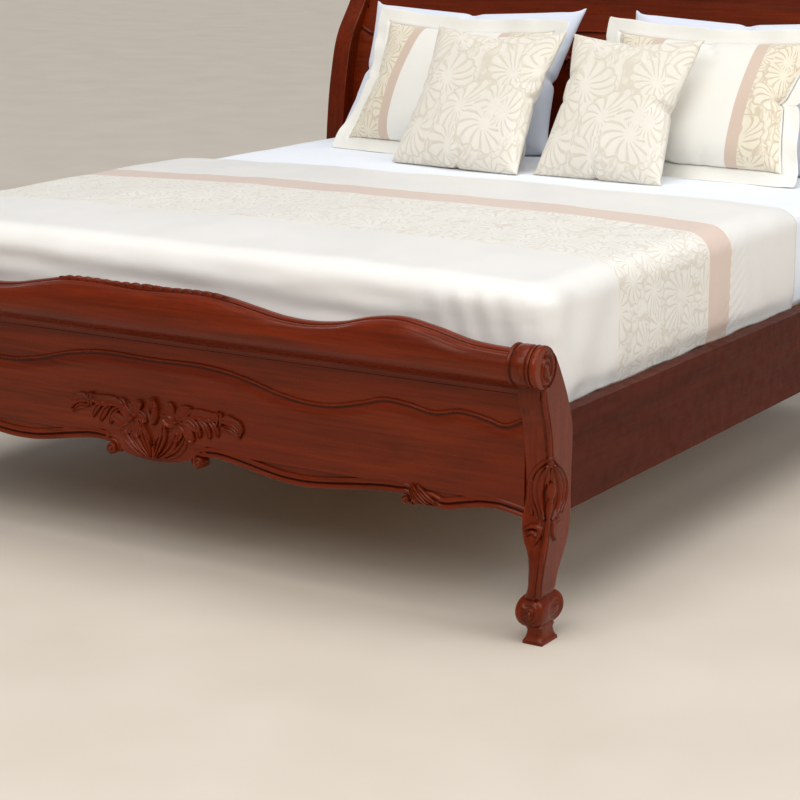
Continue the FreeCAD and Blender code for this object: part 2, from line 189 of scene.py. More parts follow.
def carve(x, z, strokes, base):
    """Relief height over a grid: each stroke is (section, height, [(x, z, half width)])."""
    h = np.full(x.shape, float(base))
    for kind, height, points in strokes:
        line = smooth_line(points, 7)
        a, b = line[:-1], line[1:]
        reach = line[:, 2].max()
        near = ((x > line[:, 0].min() - reach) & (x < line[:, 0].max() + reach)
                & (z > line[:, 1].min() - reach) & (z < line[:, 1].max() + reach))
        px, pz = x[near][:, None], z[near][:, None]
        if not px.size:
            continue
        d = b - a
        t = ((px - a[:, 0]) * d[:, 0] + (pz - a[:, 1]) * d[:, 1]) / (d[:, :2] ** 2).sum(1)
        t = np.clip(t, 0, 1)
        q = (np.hypot(px - a[:, 0] - t * d[:, 0], pz - a[:, 1] - t * d[:, 1])
             / (a[:, 2] + t * d[:, 2]))
        q = q.min(1)
        inside = q < 1
        rise = np.where(inside, height * SECTIONS[kind](np.minimum(q, 1)), 0)
        old = h[near]
        if kind == "cut":
            h[near] = old + rise
        else:
            h[near] = np.where(inside, np.maximum(old, rise), old)
    return h


# Materials -----------------------------------------------------------------------

def linear(r, g, b):
    """An sRGB colour, 0 to 255, as the linear one that shaders take."""
    return tuple(((c / 255 + 0.055) / 1.055) ** 2.4 if c > 10 else c / 3295
                 for c in (r, g, b)) + (1.0,)


class Shader:
    """A Principled material and short calls that add nodes to it."""

    def __init__(self, name):
        self.material = bpy.data.materials.new(name)
        self.material.use_nodes = True
        self.tree = self.material.node_tree
        self.bsdf = self.tree.nodes["Principled BSDF"]

    def add(self, kind, inputs, out=0, **settings):
        node = self.tree.nodes.new("ShaderNode" + kind)
        for k, v in settings.items():
            setattr(node, k, v)
        for socket, value in inputs.items():
            self.feed(node.inputs[socket], value)
        return node.outputs[out]

    def feed(self, socket, value):
        if isinstance(value, bpy.types.NodeSocket):
            self.tree.links.new(value, socket)
        else:
            socket.default_value = value

    def set(self, **inputs):
        """Give the shader's own sockets a value, or the output of a node."""
        for name, value in inputs.items():
            self.feed(self.bsdf.inputs[name.replace("_", " ")], value)

    def math(self, operation, a, b=0.0):
        return self.add("Math", {0: a, 1: b}, operation=operation)

    def mix(self, factor, a, b):
        return self.add("Mix", {0: factor, 6: a, 7: b}, out=2, data_type="RGBA")

    def plus(self, a, b):
        return self.math("ADD", a, b)

    def times(self, a, b):
        return self.math("MULTIPLY", a, b)

    def span(self, value, a, b, low=0.0, high=1.0):
        """value's range a to b drawn out to low to high, eased and clamped."""
        return self.add("MapRange", {0: value, 1: a, 2: b, 3: low, 4: high},
                        interpolation_type="SMOOTHSTEP")

    def here(self):
        """Object coordinates, in metres."""
        return self.add("TexCoord", {}, out=3)

    def stretch(self, vector, scale):
        return self.add("Mapping", {0: vector, 3: scale})

    def noise(self, vector, scale, detail=4.0, rough=0.5, distortion=0.0, out=0):
        return self.add("TexNoise", {"Vector": vector, "Scale": scale, "Detail": detail,
                                     "Roughness": rough, "Distortion": distortion}, out=out)

    def bump(self, height, distance, strength=1.0, normal=None):
        inputs = {"Height": height, "Distance": distance, "Strength": strength}
        if normal is not None:
            inputs["Normal"] = normal
        return self.add("Bump", inputs)

    def attribute(self, name, out=2):
        return self.add("Attribute", {}, out=out, attribute_name=name)


GRAIN = {"x": (1, 11, 11), "y": (11, 1, 11), "z": (11, 11, 1)}


def wood(name, axis, dark, light, pores_and_shade, gloss=0.26, lacquer=0.15, shine=0.16):
    """Lacquered hardwood with its grain along one axis."""
    s = Shader(name)
    # the warm specular tint is a painted reflection: it warms the lacquer's reflections as a brown
    # floor would
    s.set(Specular_IOR_Level=shine, Specular_Tint=(1.0, 0.74, 0.56, 1.0), Coat_Weight=lacquer,
          Coat_Roughness=0.12, Coat_IOR=1.5)
    at = s.here()
    along = s.stretch(at, GRAIN[axis])
    figure = s.noise(along, 2.2, 6.0, 0.62, 0.9)
    streaks = s.noise(s.stretch(at, tuple(9 * g if g > 1 else 2.5 for g in GRAIN[axis])),
                      1.6, 3.0, 0.6)
    pores = s.noise(s.stretch(at, tuple(150 * g if g > 1 else 60 for g in GRAIN[axis])),
                    1.0, 2.0, 0.5)
    clouds = s.noise(at, 3.1, 2.0, 0.5)
    tone = s.plus(s.times(figure, 0.55), s.times(streaks, 0.45))
    colour = s.mix(s.span(tone, 0.3, 0.72), linear(*dark), linear(*light))
    colour = s.mix(s.times(s.span(clouds, 0.35, 0.7), 0.35), colour,
                   linear(*[0.5 * (a + b) + c for a, b, c in zip(dark, light, (14, 0, -4))]))
    colour = s.mix(s.span(pores, 0.55, 0.85, 0.0, 0.18), colour, linear(*pores_and_shade))
    # painted shade: grooves and recesses, as marked per point by the carving, are darkened toward
    # the third colour
    colour = s.mix(s.times(s.attribute("painted_shade"), 0.85), colour, linear(*pores_and_shade))
    worn = s.noise(at, 38.0, 3.0, 0.6)
    s.set(Base_Color=colour, Roughness=s.span(worn, 0.3, 0.75, gloss, gloss + 0.12),
          Normal=s.bump(s.plus(s.times(pores, 0.6), streaks), 0.0004, 0.35))
    return s.material


# dark grain, light grain, and a third colour for pores that also serves as painted shade in
# grooves; the same for the woods below
MAHOGANY = ((74, 20, 3), (114, 36, 6), (26, 7, 3))
mahogany = {axis: wood("mahogany_" + axis, axis, *MAHOGANY) for axis in "xyz"}
rail_wood = wood("rail_mahogany", "y", (58, 17, 5), (78, 24, 8), (28, 8, 4), 0.38, 0.0, 0.06)
base_wood = wood("base_pine", "x", (176, 132, 84), (212, 172, 122), (120, 84, 50), 0.5, 0.0)
beam_wood = wood("beam_pine", "y", (170, 126, 80), (206, 166, 116), (120, 84, 50), 0.5, 0.0)


def plain(name, tone, roughness, grain, metallic):
    """Metal or moulded plastic with a faint mottling of its finish."""
    s = Shader(name)
    s.set(Metallic=metallic)
    speck = s.noise(s.here(), grain, 4.0, 0.6)
    s.set(Base_Color=s.mix(s.span(speck, 0.3, 0.7), linear(*[0.85 * t for t in tone]),
                           linear(*tone)),
          Roughness=s.span(speck, 0.25, 0.75, roughness, roughness + 0.15),
          Normal=s.bump(speck, 0.0002, 0.3))
    return s.material


steel = plain("zinc_steel", (158, 158, 162), 0.32, 240.0, 1.0)
glide = plain("glide_plastic", (44, 42, 42), 0.45, 500.0, 0.0)


# Outlines shared with the frame ---------------------------------------------------

# The leg seen from the side. Its toe sinks into the ball.
LEG_FRONT = [(60, 14), (84, 3), (99, -5), (125, -5.5), (165, -1), (220, 12), (285, 26), (360, 25),
             (432, 15)]
LEG_BACK = [(25, 50), (100, 69), (148, 84), (197, 108), (240, 116), (285, 112.5), (340, 112),
            (435, 107)]
CREST = graph([(0, 616), (215, 616), (290, 603), (360, 591), (430, 588), (500, 595),
               (580, 614), (645, 620), (720, 609), (800, 591), (907, 584)])
BEAD = graph([(0, 458), (170, 457), (240, 446), (330, 424), (400, 415), (460, 417),
              (525, 431), (585, 446), (640, 443), (700, 434), (760, 444), (820, 437),
              (862, 429), (905, 447)])
APRON = graph([(0, 259), (120, 259), (180, 257), (250, 246), (330, 233), (400, 231),
               (480, 239), (560, 249), (625, 252), (645, 250), (665, 252), (690, 246),
               (716, 235), (760, 241), (806, 251), (850, 254), (907, 245)])
HEAD_CREST = graph([(0, 1200), (215, 1200), (290, 1187), (360, 1168), (430, 1160),
                    (500, 1164), (580, 1176), (645, 1180), (720, 1168), (800, 1148),
                    (907, 1138)])
HEAD_BEAD = graph([(0, 1012), (170, 1010), (240, 999), (330, 977), (400, 968), (460, 970),
                   (525, 984), (585, 999), (640, 996), (700, 987), (760, 997), (820, 990),
                   (862, 982), (905, 1000)])
HEAD_FACE = graph([(430, 55), (560, 55), (700, 48), (850, 28), (970, -5), (1050, -42)])
FOOT_DRUM = (-4.0, 556.0, 43.0)
HEAD_DRUM = (-85.0, 1095.0, 52.0)      # turned: counted back from the head end


# Posts ---------------------------------------------------------------------------

KNEE = [
    ("round", 4.0, [(0, 374, 2), (-14, 364, 4), (-31, 349, 5), (-43, 329, 5.2), (-47, 304, 5),
                    (-44, 280, 4.4), (-35, 259, 3)]),
    ("round", 4.0, [(2, 374, 2), (16, 364, 4), (38, 347, 5), (55, 325, 5.2), (63, 301, 5),
                    (60, 277, 4.4), (49, 257, 3)]),
    ("leaf", 7.5, [(-8, 356, 4), (-20, 339, 10), (-27, 315, 13), (-25, 290, 11), (-16, 268, 6),
                   (-7, 252, 2)]),
    ("leaf", 7.5, [(9, 356, 4), (24, 338, 10), (36, 314, 14), (34, 288, 12), (23, 266, 6),
                   (10, 250, 2)]),
    ("ridge", 5.5, [(-40, 322, 3), (-42, 300, 5), (-35, 276, 5), (-22, 252, 3)]),
    ("ridge", 5.5, [(55, 318, 3), (56, 296, 5), (47, 272, 5), (30, 250, 3)]),
    ("cut", 5, [(0, 352, 2), (0, 342, 6), (0, 331, 7), (0, 322, 5)]),
    ("round", 8.5, [(0, 324, 2), (0, 314, 6.5), (0, 303, 7), (0, 292, 3)]),
    ("cut", 3.4, [(-10, 318, 2), (-13, 300, 3), (-10, 282, 3), (-5, 264, 2)]),
    ("cut", 3.4, [(10, 318, 2), (14, 300, 3), (11, 282, 3), (5, 264, 2)]),
    ("ridge", 7.5, [(0, 294, 2), (-1, 280, 7), (-1, 264, 6), (0, 246, 3)]),
    ("round", 5.5, [(-47, 227, 2), (-33, 235, 5), (-16, 235, 5.6), (-13, 222, 5), (-20, 204, 2)]),
    ("round", 4.5, [(-41, 217, 2), (-30, 225, 4), (-21, 221, 4)]),
    ("cut", 3.6, [(-38, 229, 1), (-27, 229, 3), (-20, 222, 3)]),
    ("round", 5.5, [(46, 243, 2), (32, 248, 5), (17, 240, 5.6), (19, 225, 5), (34, 206, 2)]),
    ("cut", 3.6, [(40, 240, 1), (30, 239, 3), (24, 230, 3)]),
    ("round", 4.4, [(0, 256, 2), (0, 235, 4.6), (0, 205, 4.6), (0, 150, 3.6), (0, 98, 3.4)]),
    ("cut", 3.0, [(-9, 225, 1), (-9, 190, 4), (-8, 150, 4), (-7.5, 98, 3.4)]),
    ("cut", 3.0, [(9, 225, 1), (9, 190, 4), (8, 150, 4), (7.5, 98, 3.4)]),
]
CORNER_BEAD = [
    ("round", 2.0, [(-3, 512, 2), (-3, 480, 4), (-3, 430, 4), (-2, 378, 3.4), (0, 366, 2)]),
    ("cut", 3.0, [(-10, 508, 1), (-10, 480, 3), (-10, 430, 3), (-8.5, 372, 2.6)]),
    ("cut", 3.0, [(4.5, 508, 1), (4.5, 480, 3), (4.5, 430, 3), (5, 372, 2.6)]),
]


def section(x0, x1, y0, y1, r, counts):
    """Rounded rectangle seen from above, from its inner front corner round to the back.

    counts is how many points divide each side. Returns points and outward normals.
    """
    corners = [(x0 + r, y0 + r, math.pi), (x1 - r, y0 + r, 1.5 * math.pi),
               (x1 - r, y1 - r, 0.0), (x0 + r, y1 - r, 0.5 * math.pi)]
    points, normals = [], []
    for k, (cx, cy, start) in enumerate(corners):
        for a in np.linspace(start, start + math.pi / 2, 9):
            normals.append((math.cos(a), math.sin(a)))
            points.append((cx + r * math.cos(a), cy + r * math.sin(a)))
        nx, ny, begin = corners[(k + 1) % 4]
        c, s = math.cos(begin), math.sin(begin)
        last, end = (cx + r * c, cy + r * s), (nx + r * c, ny + r * s)
        for t in np.linspace(0, 1, counts[k] + 2)[1:-1]:
            normals.append((c, s))
            points.append((last[0] + (end[0] - last[0]) * t, last[1] + (end[1] - last[1]) * t))
    return np.array(points), np.array(normals)


COUNTS = (44, 60, 10, 16)        # points along the front, outer, back and inner side
CORNER = 9 + COUNTS[0] + 4       # index of the outer front corner
CARVED = 90                      # points past that corner that may be carved


def leg(levels, front, back, inner, outer, radius, strokes):
    """The post's shaft: a rounded section that changes with height, carved at the knee."""
    rows, away = [], []                 # away: how far a point lies from the front corner
    for z in levels:
        p, n = section(inner(z), outer(z), front(z), back(z), radius(z), COUNTS)
        gaps = np.hypot(*np.diff(p, axis=0, append=p[:1]).T)
        run = np.concatenate([[0], np.cumsum(gaps)])[:-1]
        rows.append(np.column_stack([p, np.full(len(p), z), n]))
        away.append(run - run[CORNER])
    rows, away = np.array(rows), np.array(away)
    z = rows[:, :, 2]
    h = carve(away, z, strokes, 0.0)
    h[:, CORNER + CARVED:] = 0
    out = rows[:, :, :3].copy()
    # the outer face dives 7 mm in under the face of the drum
    under = np.hypot(out[:, :, 1] - FOOT_DRUM[0], z - FOOT_DRUM[1]) < FOOT_DRUM[2] - 3
    h[under & (rows[:, :, 3] > 0.9)] = -7
    out[:, :, 0] += h * rows[:, :, 3]
    out[:, :, 1] += h * rows[:, :, 4]
    # painted shade in the knee carving's grooves, from how far each point lies under its
    # surroundings
    return tube(out, hollow_shade(h, 3, 1.4))


# Turned beads round a drum: how far out from its inner end, and how far under its radius.
BEADS = [(0, 6), (1, 2), (3, 0), (6, 0), (8, 1.5), (9, 4), (11, 4), (13, 1.5), (20, 0.6),
         (36, 0.6), (40, 1.5), (41.5, 4), (43, 4), (44.5, 0.8), (47, 0), (49.5, 0.8),
         (50.5, 3.4), (52, 3.4), (53.5, 0.6), (57, 0), (62, 0.3), (64.6, 1.6), (65, 3)]


def scroll_drum(y, z, r, volute):
    """Turned end of the scroll with beads round it, closed by a face with a spiral.

    volute is the spiral's centre on the face and its half width and height.
    """
    turn = np.linspace(0, 2 * math.pi, 97)[:-1]
    rows = [np.column_stack([np.full(96, DRUM_IN + x), y + (r - q) * np.cos(turn),
                             z + (r - q) * np.sin(turn)]) for x, q in BEADS]
    # painted shade in the grooves between the beads
    groove_shade = [np.full(96, 0.55 if 3 < q < 5 else 0.0) for x, q in BEADS]
    for f in np.linspace(1, 0.02, 46)[1:]:
        q = (r - 3) * f
        dy, dz = q * np.cos(turn), q * np.sin(turn)
        e = np.hypot((dy - volute[0]) / volute[2], (dz - volute[1]) / volute[3])
        angle = np.arctan2(dz - volute[1], volute[0] - dy)
        turns = (1.0 - e) / 0.42 - angle / (2 * math.pi) + 0.25
        band = 0.5 + 0.5 * np.cos(2 * math.pi * turns)
        inside = fade(e, 1.06, 0.94)
        h = inside * fade(e, 0.3, 0.44) * (4.4 * band - 2.4) + 2.4 * fade(e, 0.34, 0.2)
        rows.append(np.column_stack([OUT + 0.2 + np.clip(h, -2.6, 2.6), y + dy, z + dz]))
        # painted shade in the spiral's groove
        groove_shade.append(inside * fade(h, -1.0, -2.6) * 0.5)
    return tube(np.array(rows), np.array(groove_shade))


BALL = np.array([934.0, 45.0, 63.0])           # middle of the ball foot
BALL_HALF = np.array([31.8, 58.0, 36.0])
SPIRAL_STEP = 9.6                              # from one turn of its spiral to the next


def ball_foot():
    """Block-cut ball foot, carved with a spiral on its front and outer faces."""
    polar = np.linspace(0.02, math.pi - 0.02, 76)
    turn = np.linspace(0, 2 * math.pi, 145)[:-1]
    t, p = np.meshgrid(turn, polar)
    squareness = 4.4
    c, s = np.cos(t), np.sin(t)
    x, y = (np.sign(a) * np.abs(a) ** (2 / squareness) for a in (c, s))
    ring = np.sin(p) ** 0.72
    n = np.stack([x * ring / 32, y * ring / 58, np.cos(p) / 36], -1)
    n /= np.linalg.norm(n, axis=-1, keepdims=True)
    out = BALL + BALL_HALF * np.stack([x * ring, y * ring, np.cos(p)], -1)
    h = np.zeros(t.shape)
    for across, centre, reach, facing in (
            (out[..., 0], (941, 63), 27, fade(-n[..., 1], 0.15, 0.55)),
            (out[..., 1], (57, 64), 37, fade(n[..., 0], 0.35, 0.75) * 0.75)):
        d = np.hypot((across - centre[0]) * 1.15, out[..., 2] - centre[1])
        angle = np.arctan2(out[..., 2] - centre[1], across - centre[0])
        wave = np.cos(2 * math.pi * d / SPIRAL_STEP - angle)
        h += 1.9 * (wave - 0.8) * facing * fade(d, reach, reach - 7) * fade(d, 4, 8)
        h += 1.4 * facing * np.exp(-(d / 6) ** 4)
    # a crease down the front corner carries on the leg's
    corner = np.exp(-((out[..., 0] - 962) ** 2 + (out[..., 1] + 8) ** 2) / 60)
    h -= 3.4 * corner * fade(out[..., 2], 92, 80)
    # painted shade in the spiral's grooves
    return tube(out + n * h[..., None], hollow_shade(h, 3, 3.0))


def pad():
    """Small spreading square pad under the ball: heights and half widths."""
    rows = []
    for z, hx, hy in ((0, 21.6, 32), (1, 22, 32.5), (6, 21.9, 32.3), (8, 20.6, 30.6),
                      (13, 18.4, 27.6), (20, 17, 25), (27, 16.6, 24.2), (34, 18.5, 27),
                      (40, 16, 24)):
        p, _ = section(943 - hx, 943 + hx, 32 - hy, 32 + hy, 2.2 if z < 8 else 4, (4, 6, 4, 6))
        rows.append(np.column_stack([p, np.full(len(p), z)]))
    return tube(np.array(rows))


# The leg seen from the front, and how far its long edges are rounded.
INNER = graph([(25, 921), (92, 921), (105, 928), (135, 931), (184, 924), (207, 912),
               (226, 906.5), (290, 906.5), (1200, 906.5)])
OUTER = graph([(60, 940), (84, 951), (99, 957.5), (125, 959.5), (200, 964), (260, 965),
               (1200, 965)])
EDGE = graph([(25, 13), (120, 11), (190, 9), (250, 8), (400, 5), (1200, 5)])


def post_shells(foot):
    """Shaft, drum, ball and pad of a right-hand post."""
    knee_rows = np.concatenate([np.arange(86, 196, 3), np.arange(196, 378, 1.6)])
    if foot:
        front = graph(LEG_FRONT + [(490, -4), (520, -6), (556, -9), (588, -3)])
        back = graph(LEG_BACK + [(475, 92), (520, 69), (555, 48), (576, 33), (588, 19)])
        rows = np.concatenate([knee_rows, np.arange(378, 589, 3)])
        drum = scroll_drum(*FOOT_DRUM, (5.5, -4, 25, 34.5))
        strokes = KNEE + CORNER_BEAD
    else:
        front = graph(LEG_FRONT + [(560, 12), (700, 2), (850, -20), (960, -48), (1050, -72),
                                   (1130, -90)])
        back = graph(LEG_BACK + [(560, 106), (700, 98), (850, 76), (980, 36), (1070, -30),
                                 (1130, -66)])
        rows = np.concatenate([knee_rows, np.arange(378, 1131, 8)])
        drum = scroll_drum(*HEAD_DRUM, (4, -4, 32, 42))
        strokes = KNEE
    shells = [leg(rows, front, back, INNER, OUTER, EDGE, strokes), drum, ball_foot(), pad()]
    return shells if foot else [turned(s) for s in shells]


for end in ("foot", "head"):
    shells = post_shells(end == "foot")
    for side in ("right", "left"):
        made = shells if side == "right" else [mirror(s) for s in shells]
        piece(f"{end}_post_{side}_carved", made, "z",
              (f"{end}_post_{side}", f"{end}_roundel_{side}"), 48)


# Rolls ---------------------------------------------------------------------------

def roll_section(c):
    """Side view of the foot roll where its crest is c high."""
    lift = c - 552
    points = [(30, 489), (28, 497), (20, 505.5), (6, 511), (-8, 515), (-20, 520), (-32, 529),
              (-40, 540), (-43, 552), (-41.5, 552 + 0.42 * lift), (-34, 552 + 0.76 * lift),
              (-25, c - 7.5), (-18, c - 4.6), (-13, c - 5.2), (-11, c - 7.2), (-9.6, c - 6.2),
              (-8.6, c - 3), (-5, c - .6), (2, c + .4), (10, c - .4), (15, c - 4),
              (18, c - 10), (22, c - 22), (34, 549), (45, 520), (53, 497), (55, 489)]
    return np.vstack([smooth_line(points, 4), [[48, 488], [40, 488], [34, 488]]])


def head_roll_section(c):
    """The same for the head roll, turned."""
    lift = c - 1095
    points = [(-42, 1050), (-46, 1060), (-56, 1086), (-62, 1110), (-63, 1110 + .5 * (c - 1110)),
              (-62.5, c - 12), (-63.5, c - 8), (-66, c - 7.4), (-66.8, c - 3), (-71, c - .4),
              (-80, c + .4), (-89, c - .6), (-95, c - 4), (-101, c - 14),
              (-107, 1095 + .55 * lift), (-118, 1142), (-131, 1122), (-136.5, 1096),
              (-133, 1074), (-121, 1060), (-104, 1051), (-88, 1047), (-74, 1048)]
    return np.vstack([smooth_line(points, 4), [[-60, 1049], [-52, 1049.5]]])


def roll(make, crest, groove):
    """A roll swept between the drums; groove is where its quirk lies from the crest, along which
    shade is painted.
    """
    rows, groove_shade = [], []
    for x in np.linspace(-DRUM_IN - .5, DRUM_IN + .5, 301):
        c = float(crest(abs(x)))
        p = make(c)
        rows.append(np.column_stack([np.full(len(p), x), p]))
        # painted shade along the quirk
        near = np.hypot(p[:, 0] - groove[0], p[:, 1] - c - groove[1])
        groove_shade.append(np.clip(1.25 - near / 3.4, 0, 1))
    return tube(np.array(rows), np.array(groove_shade))


piece("foot_roll_carved", [roll(roll_section, CREST, (-11, -7))], "x", ("foot_roll",), 60)
piece("head_roll_carved", [turned(roll(head_roll_section, HEAD_CREST, (-64, -8)))], "x",
      ("head_roll",), 60)


def leaf_strip(top, y0, y1):
    """Leaf and berry strip let into the top of the crest."""
    x, v = np.meshgrid(np.linspace(-226, 226, 453), np.linspace(-1, 1, 13))
    outline = graph([(-226, .1), (-200, .75), (-150, 1), (-60, .8), (0, 1), (60, .8),
                     (150, 1), (200, .75), (226, .1)])(x)
    step = np.abs(x) / 26.0
    leaf = np.abs(np.sin(math.pi * (step - 0.42 * np.abs(v))))
    h = outline * (2.2 + 5.4 * leaf ** 0.6) * np.sqrt(1 - 0.86 * v ** 2)
    y = (y0 + y1) / 2 + (y1 - y0) / 2 * v * outline
    # painted shade in the gaps between the leaves
    return slab(np.stack([x, y, top + h], -1), np.stack([x, y, x * 0 + top - 5], -1),
                np.clip(1 - leaf * 1.6, 0, 1))


piece("foot_crest_leaf_strip", [leaf_strip(616.4, -13.5, 3.5)], "x", ("foot_crest_carving",), 50)
piece("head_crest_leaf_strip", [turned(leaf_strip(1200.4, -93, -68))], "x",
      ("head_crest_carving",), 50)


# Raised field and apron mouldings --------------------------------------------------

COVE = graph([(0, 0.2), (1.2, 3.4), (3.5, 5.2), (5.8, 4.0), (7.2, 0.9), (9, 0.1), (11.5, 0.5),
              (17, 2.3), (24, 4.0), (33, 5), (34, 5), (900, 5)])


def field_grid(bead, low):
    """Grid over a raised field, and the height of its relief. bead and low are its upper and
    lower edges over x."""
    x = np.linspace(-907.4, 907.4, 604)
    top = bead(np.abs(x))
    squeeze = 1 / np.hypot(1, np.gradient(top, x))
    down = np.concatenate([[0, .6, 1.2, 2.2, 3.5, 4.8, 5.8, 6.6, 7.2, 8, 9, 10.2, 11.5],
                           np.linspace(14, 36, 9), [44, 56, 72, 92, 116, 145]])
    z, depth = [], []
    for k in range(len(x)):
        drop = down / squeeze[k]
        whole = top[k] - low(abs(x[k]))
        drop = np.concatenate([drop[drop < whole - 1], [whole]])
        drop = np.interp(np.linspace(0, len(drop) - 1, len(down) + 1), np.arange(len(drop)), drop)
        z.append(top[k] - drop)
        depth.append(COVE(drop * squeeze[k]))
    z, h = np.array(z).T, np.array(depth).T
    return np.tile(x, (z.shape[0], 1)), z, h


x, z, h = field_grid(BEAD, lambda a: max(APRON(a) + 23, 270.0))
# painted shade along the groove below the bead
shade = np.clip(1 - np.abs(h - 0.1) / 0.7, 0, 1) * (z > z[-1] + 20) * (z < z[0] - 4)
piece("foot_field_moulded", [slab(np.stack([x, PANEL - h, z], -1),
                                  np.stack([x, x * 0 + PANEL + 1, z], -1), shade)],
      "x", ("foot_field",), 60)
x, z, h = field_grid(HEAD_BEAD, lambda a: 640.0)
# painted shade along the groove below the bead
shade = np.clip(1 - np.abs(h - 0.1) / 0.7, 0, 1) * (z < z[0] - 4)
face = HEAD_FACE(z)
piece("head_field_moulded", [turned(slab(np.stack([x, face + h, z], -1),
                                         np.stack([x, face - 1, z], -1), shade))],
      "x", ("head_field",), 60)

LIP = [(0, 3), (0.6, 5.8), (2.6, 7.6), (5, 8.2), (7.6, 7.4), (9.8, 5.4), (11, 3.2), (12, 2.4),
       (13, 3.0), (14, 5.2), (16, 6.8), (18.4, 7), (20.6, 6.1), (22.3, 5.2), (24, 4.8)]


def moulding(line, widths, way):
    """The double bead swept along a path on the panel's face.

    line holds (x, z) of its lower edge, widths its scale there; way is 1 when the panel lies
    to the right of the path, -1 when it lies to the left.
    """
    p = smooth_line(line, 8)
    d = np.gradient(p, axis=0)
    d /= np.hypot(*d.T)[:, None]
    n = np.column_stack([d[:, 1], -d[:, 0]]) * way
    w = np.interp(np.linspace(0, len(line) - 1, len(p)), np.arange(len(line)), widths)
    q = smooth_line(LIP, 3)
    rows = (p[:, None] + n[:, None] * (q[:, 0][None, :, None] * w[:, None, None]))
    h = q[:, 1][None, :] * np.clip(w, 0.55, 1)[:, None]
    front = np.stack([rows[..., 0], PANEL - h, rows[..., 1]], -1)
    back = front.copy()
    back[..., 1] = PANEL + 16
    # painted shade in the groove between the two beads
    groove_shade = np.tile(np.clip(1.3 - np.abs(q[:, 0] - 12) / 2.4, 0, 1), (len(p), 1))
    return slab(front, back, groove_shade)


def arc(cx, cz, r, start, stop, n):
    """n points round a centre, start and stop in degrees."""
    return [(cx + r * math.cos(math.radians(a)), cz + r * math.sin(math.radians(a)))
            for a in np.linspace(start, stop, n)]


def dome(cx, cz, r, front, back, turns, way):
    """A carved knob: a short round stub with a domed face and a spiral groove."""
    turn = np.linspace(0, 2 * math.pi, 49)[:-1]
    rows, groove_shade = [], []
    for q, y in ((0.2, back), (1, back), (1, front + 6), (.97, front + 3.4), (.9, front + 1.8)):
        rows.append(np.column_stack([cx + q * r * np.cos(turn), np.full(48, y),
                                     cz + q * r * np.sin(turn)]))
        groove_shade.append(np.zeros(48))
    for q in np.linspace(.84, .04, 22):
        wave = np.cos(2 * math.pi * (turns * (1 - q) - way * turn / (2 * math.pi)))
        dip = 1.5 * np.clip(-wave, 0, 1) * fade(q, .12, .3)
        rows.append(np.column_stack([cx + q * r * np.cos(turn),
                                     front + 1.6 * q**2 + dip, cz + q * r * np.sin(turn)]))
        # painted shade in the spiral groove
        groove_shade.append(dip / 1.5)
    return tube(np.array(rows), np.array(groove_shade))


def on_apron(*stations):
    return [(a, float(APRON(a))) for a in stations]


main = moulding(on_apron(618, 590, 560, 520, 480, 440, 400, 365, 330, 290, 250, 215, 182, 156)
                + arc(119, 243, 14.5, 66, 200, 8),
                [1] * 13 + [.94, .86, .78, .7, .64, .58, .52, .46, .4], 1)
tail = moulding(on_apron(908, 880, 850, 828, 806, 783, 760, 738, 716, 700, 688, 676),
                [1] * 9 + [.95, .85, .7], 1)
curl = moulding(on_apron(606) + [(622, 252.4)] + arc(637, 243, 11.5, 96, -40, 6),
                [1, 1, .95, .85, .72, .6, .5, .4], -1)
snail = dome(118, 243, 13, PANEL - 13, PANEL + 17, 1.6, 1)
button = dome(637, 242, 8.2, PANEL - 12, PANEL + 14, 1.2, -1)
leaf_x, leaf_z = np.meshgrid(np.linspace(640, 716, 96), np.linspace(234, 284, 70))
SIDE_LEAF = [("leaf", 9.5, [(653, 276, 3), (660, 264, 7), (670, 252, 8), (684, 243, 5),
                            (696, 240, 2)]),
             ("leaf", 8.5, [(664, 278, 2), (674, 266, 6), (688, 254, 7), (704, 246, 4),
                            (713, 243, 1.5)]),
             ("leaf", 8.0, [(648, 268, 2), (651, 258, 5), (657, 246, 6), (668, 240, 3)])]
relief = carve(leaf_x, leaf_z, SIDE_LEAF, -7.0)
# painted shade in the leaf's grooves
side_leaf = slab(np.stack([leaf_x, PANEL - 4 - relief, leaf_z], -1),
                 np.stack([leaf_x, leaf_x * 0 + PANEL + 12, leaf_z], -1), hollow_shade(relief, 4, 3))
for side in ("right", "left"):
    flip = (lambda s: s) if side == "right" else mirror
    piece(f"foot_apron_bead_{side}", [flip(main), flip(tail)], "x",
          (f"foot_apron_moulding_{side}",), 60)
    piece(f"foot_apron_snail_{side}", [flip(curl), flip(button), flip(side_leaf)], "x",
          (f"foot_apron_scroll_{side}",), 60)


# Flower cartouches -----------------------------------------------------------------

def lily(cx, cz, way):
    """Six petals round an eye; way -1 turns the flower over left to right."""
    tips = [(-36, 34), (20, 36), (-60, -8), (-38, -38), (36, 2), (6, -42)]
    strokes = []
    for dx, dz in tips:
        dx *= way
        bow = (-dz * .14, dx * .14)
        strokes.append(("petal", 11.5, [(cx + dx * .12, cz + dz * .12, 6),
                                        (cx + dx * .5 + bow[0], cz + dz * .5 + bow[1], 13),
                                        (cx + dx * .82 + bow[0] * .5, cz + dz * .82, 11),
                                        (cx + dx, cz + dz, 3)]))
    return strokes + [("round", 16, [(cx - 1, cz, 7), (cx + 1, cz, 7)])]


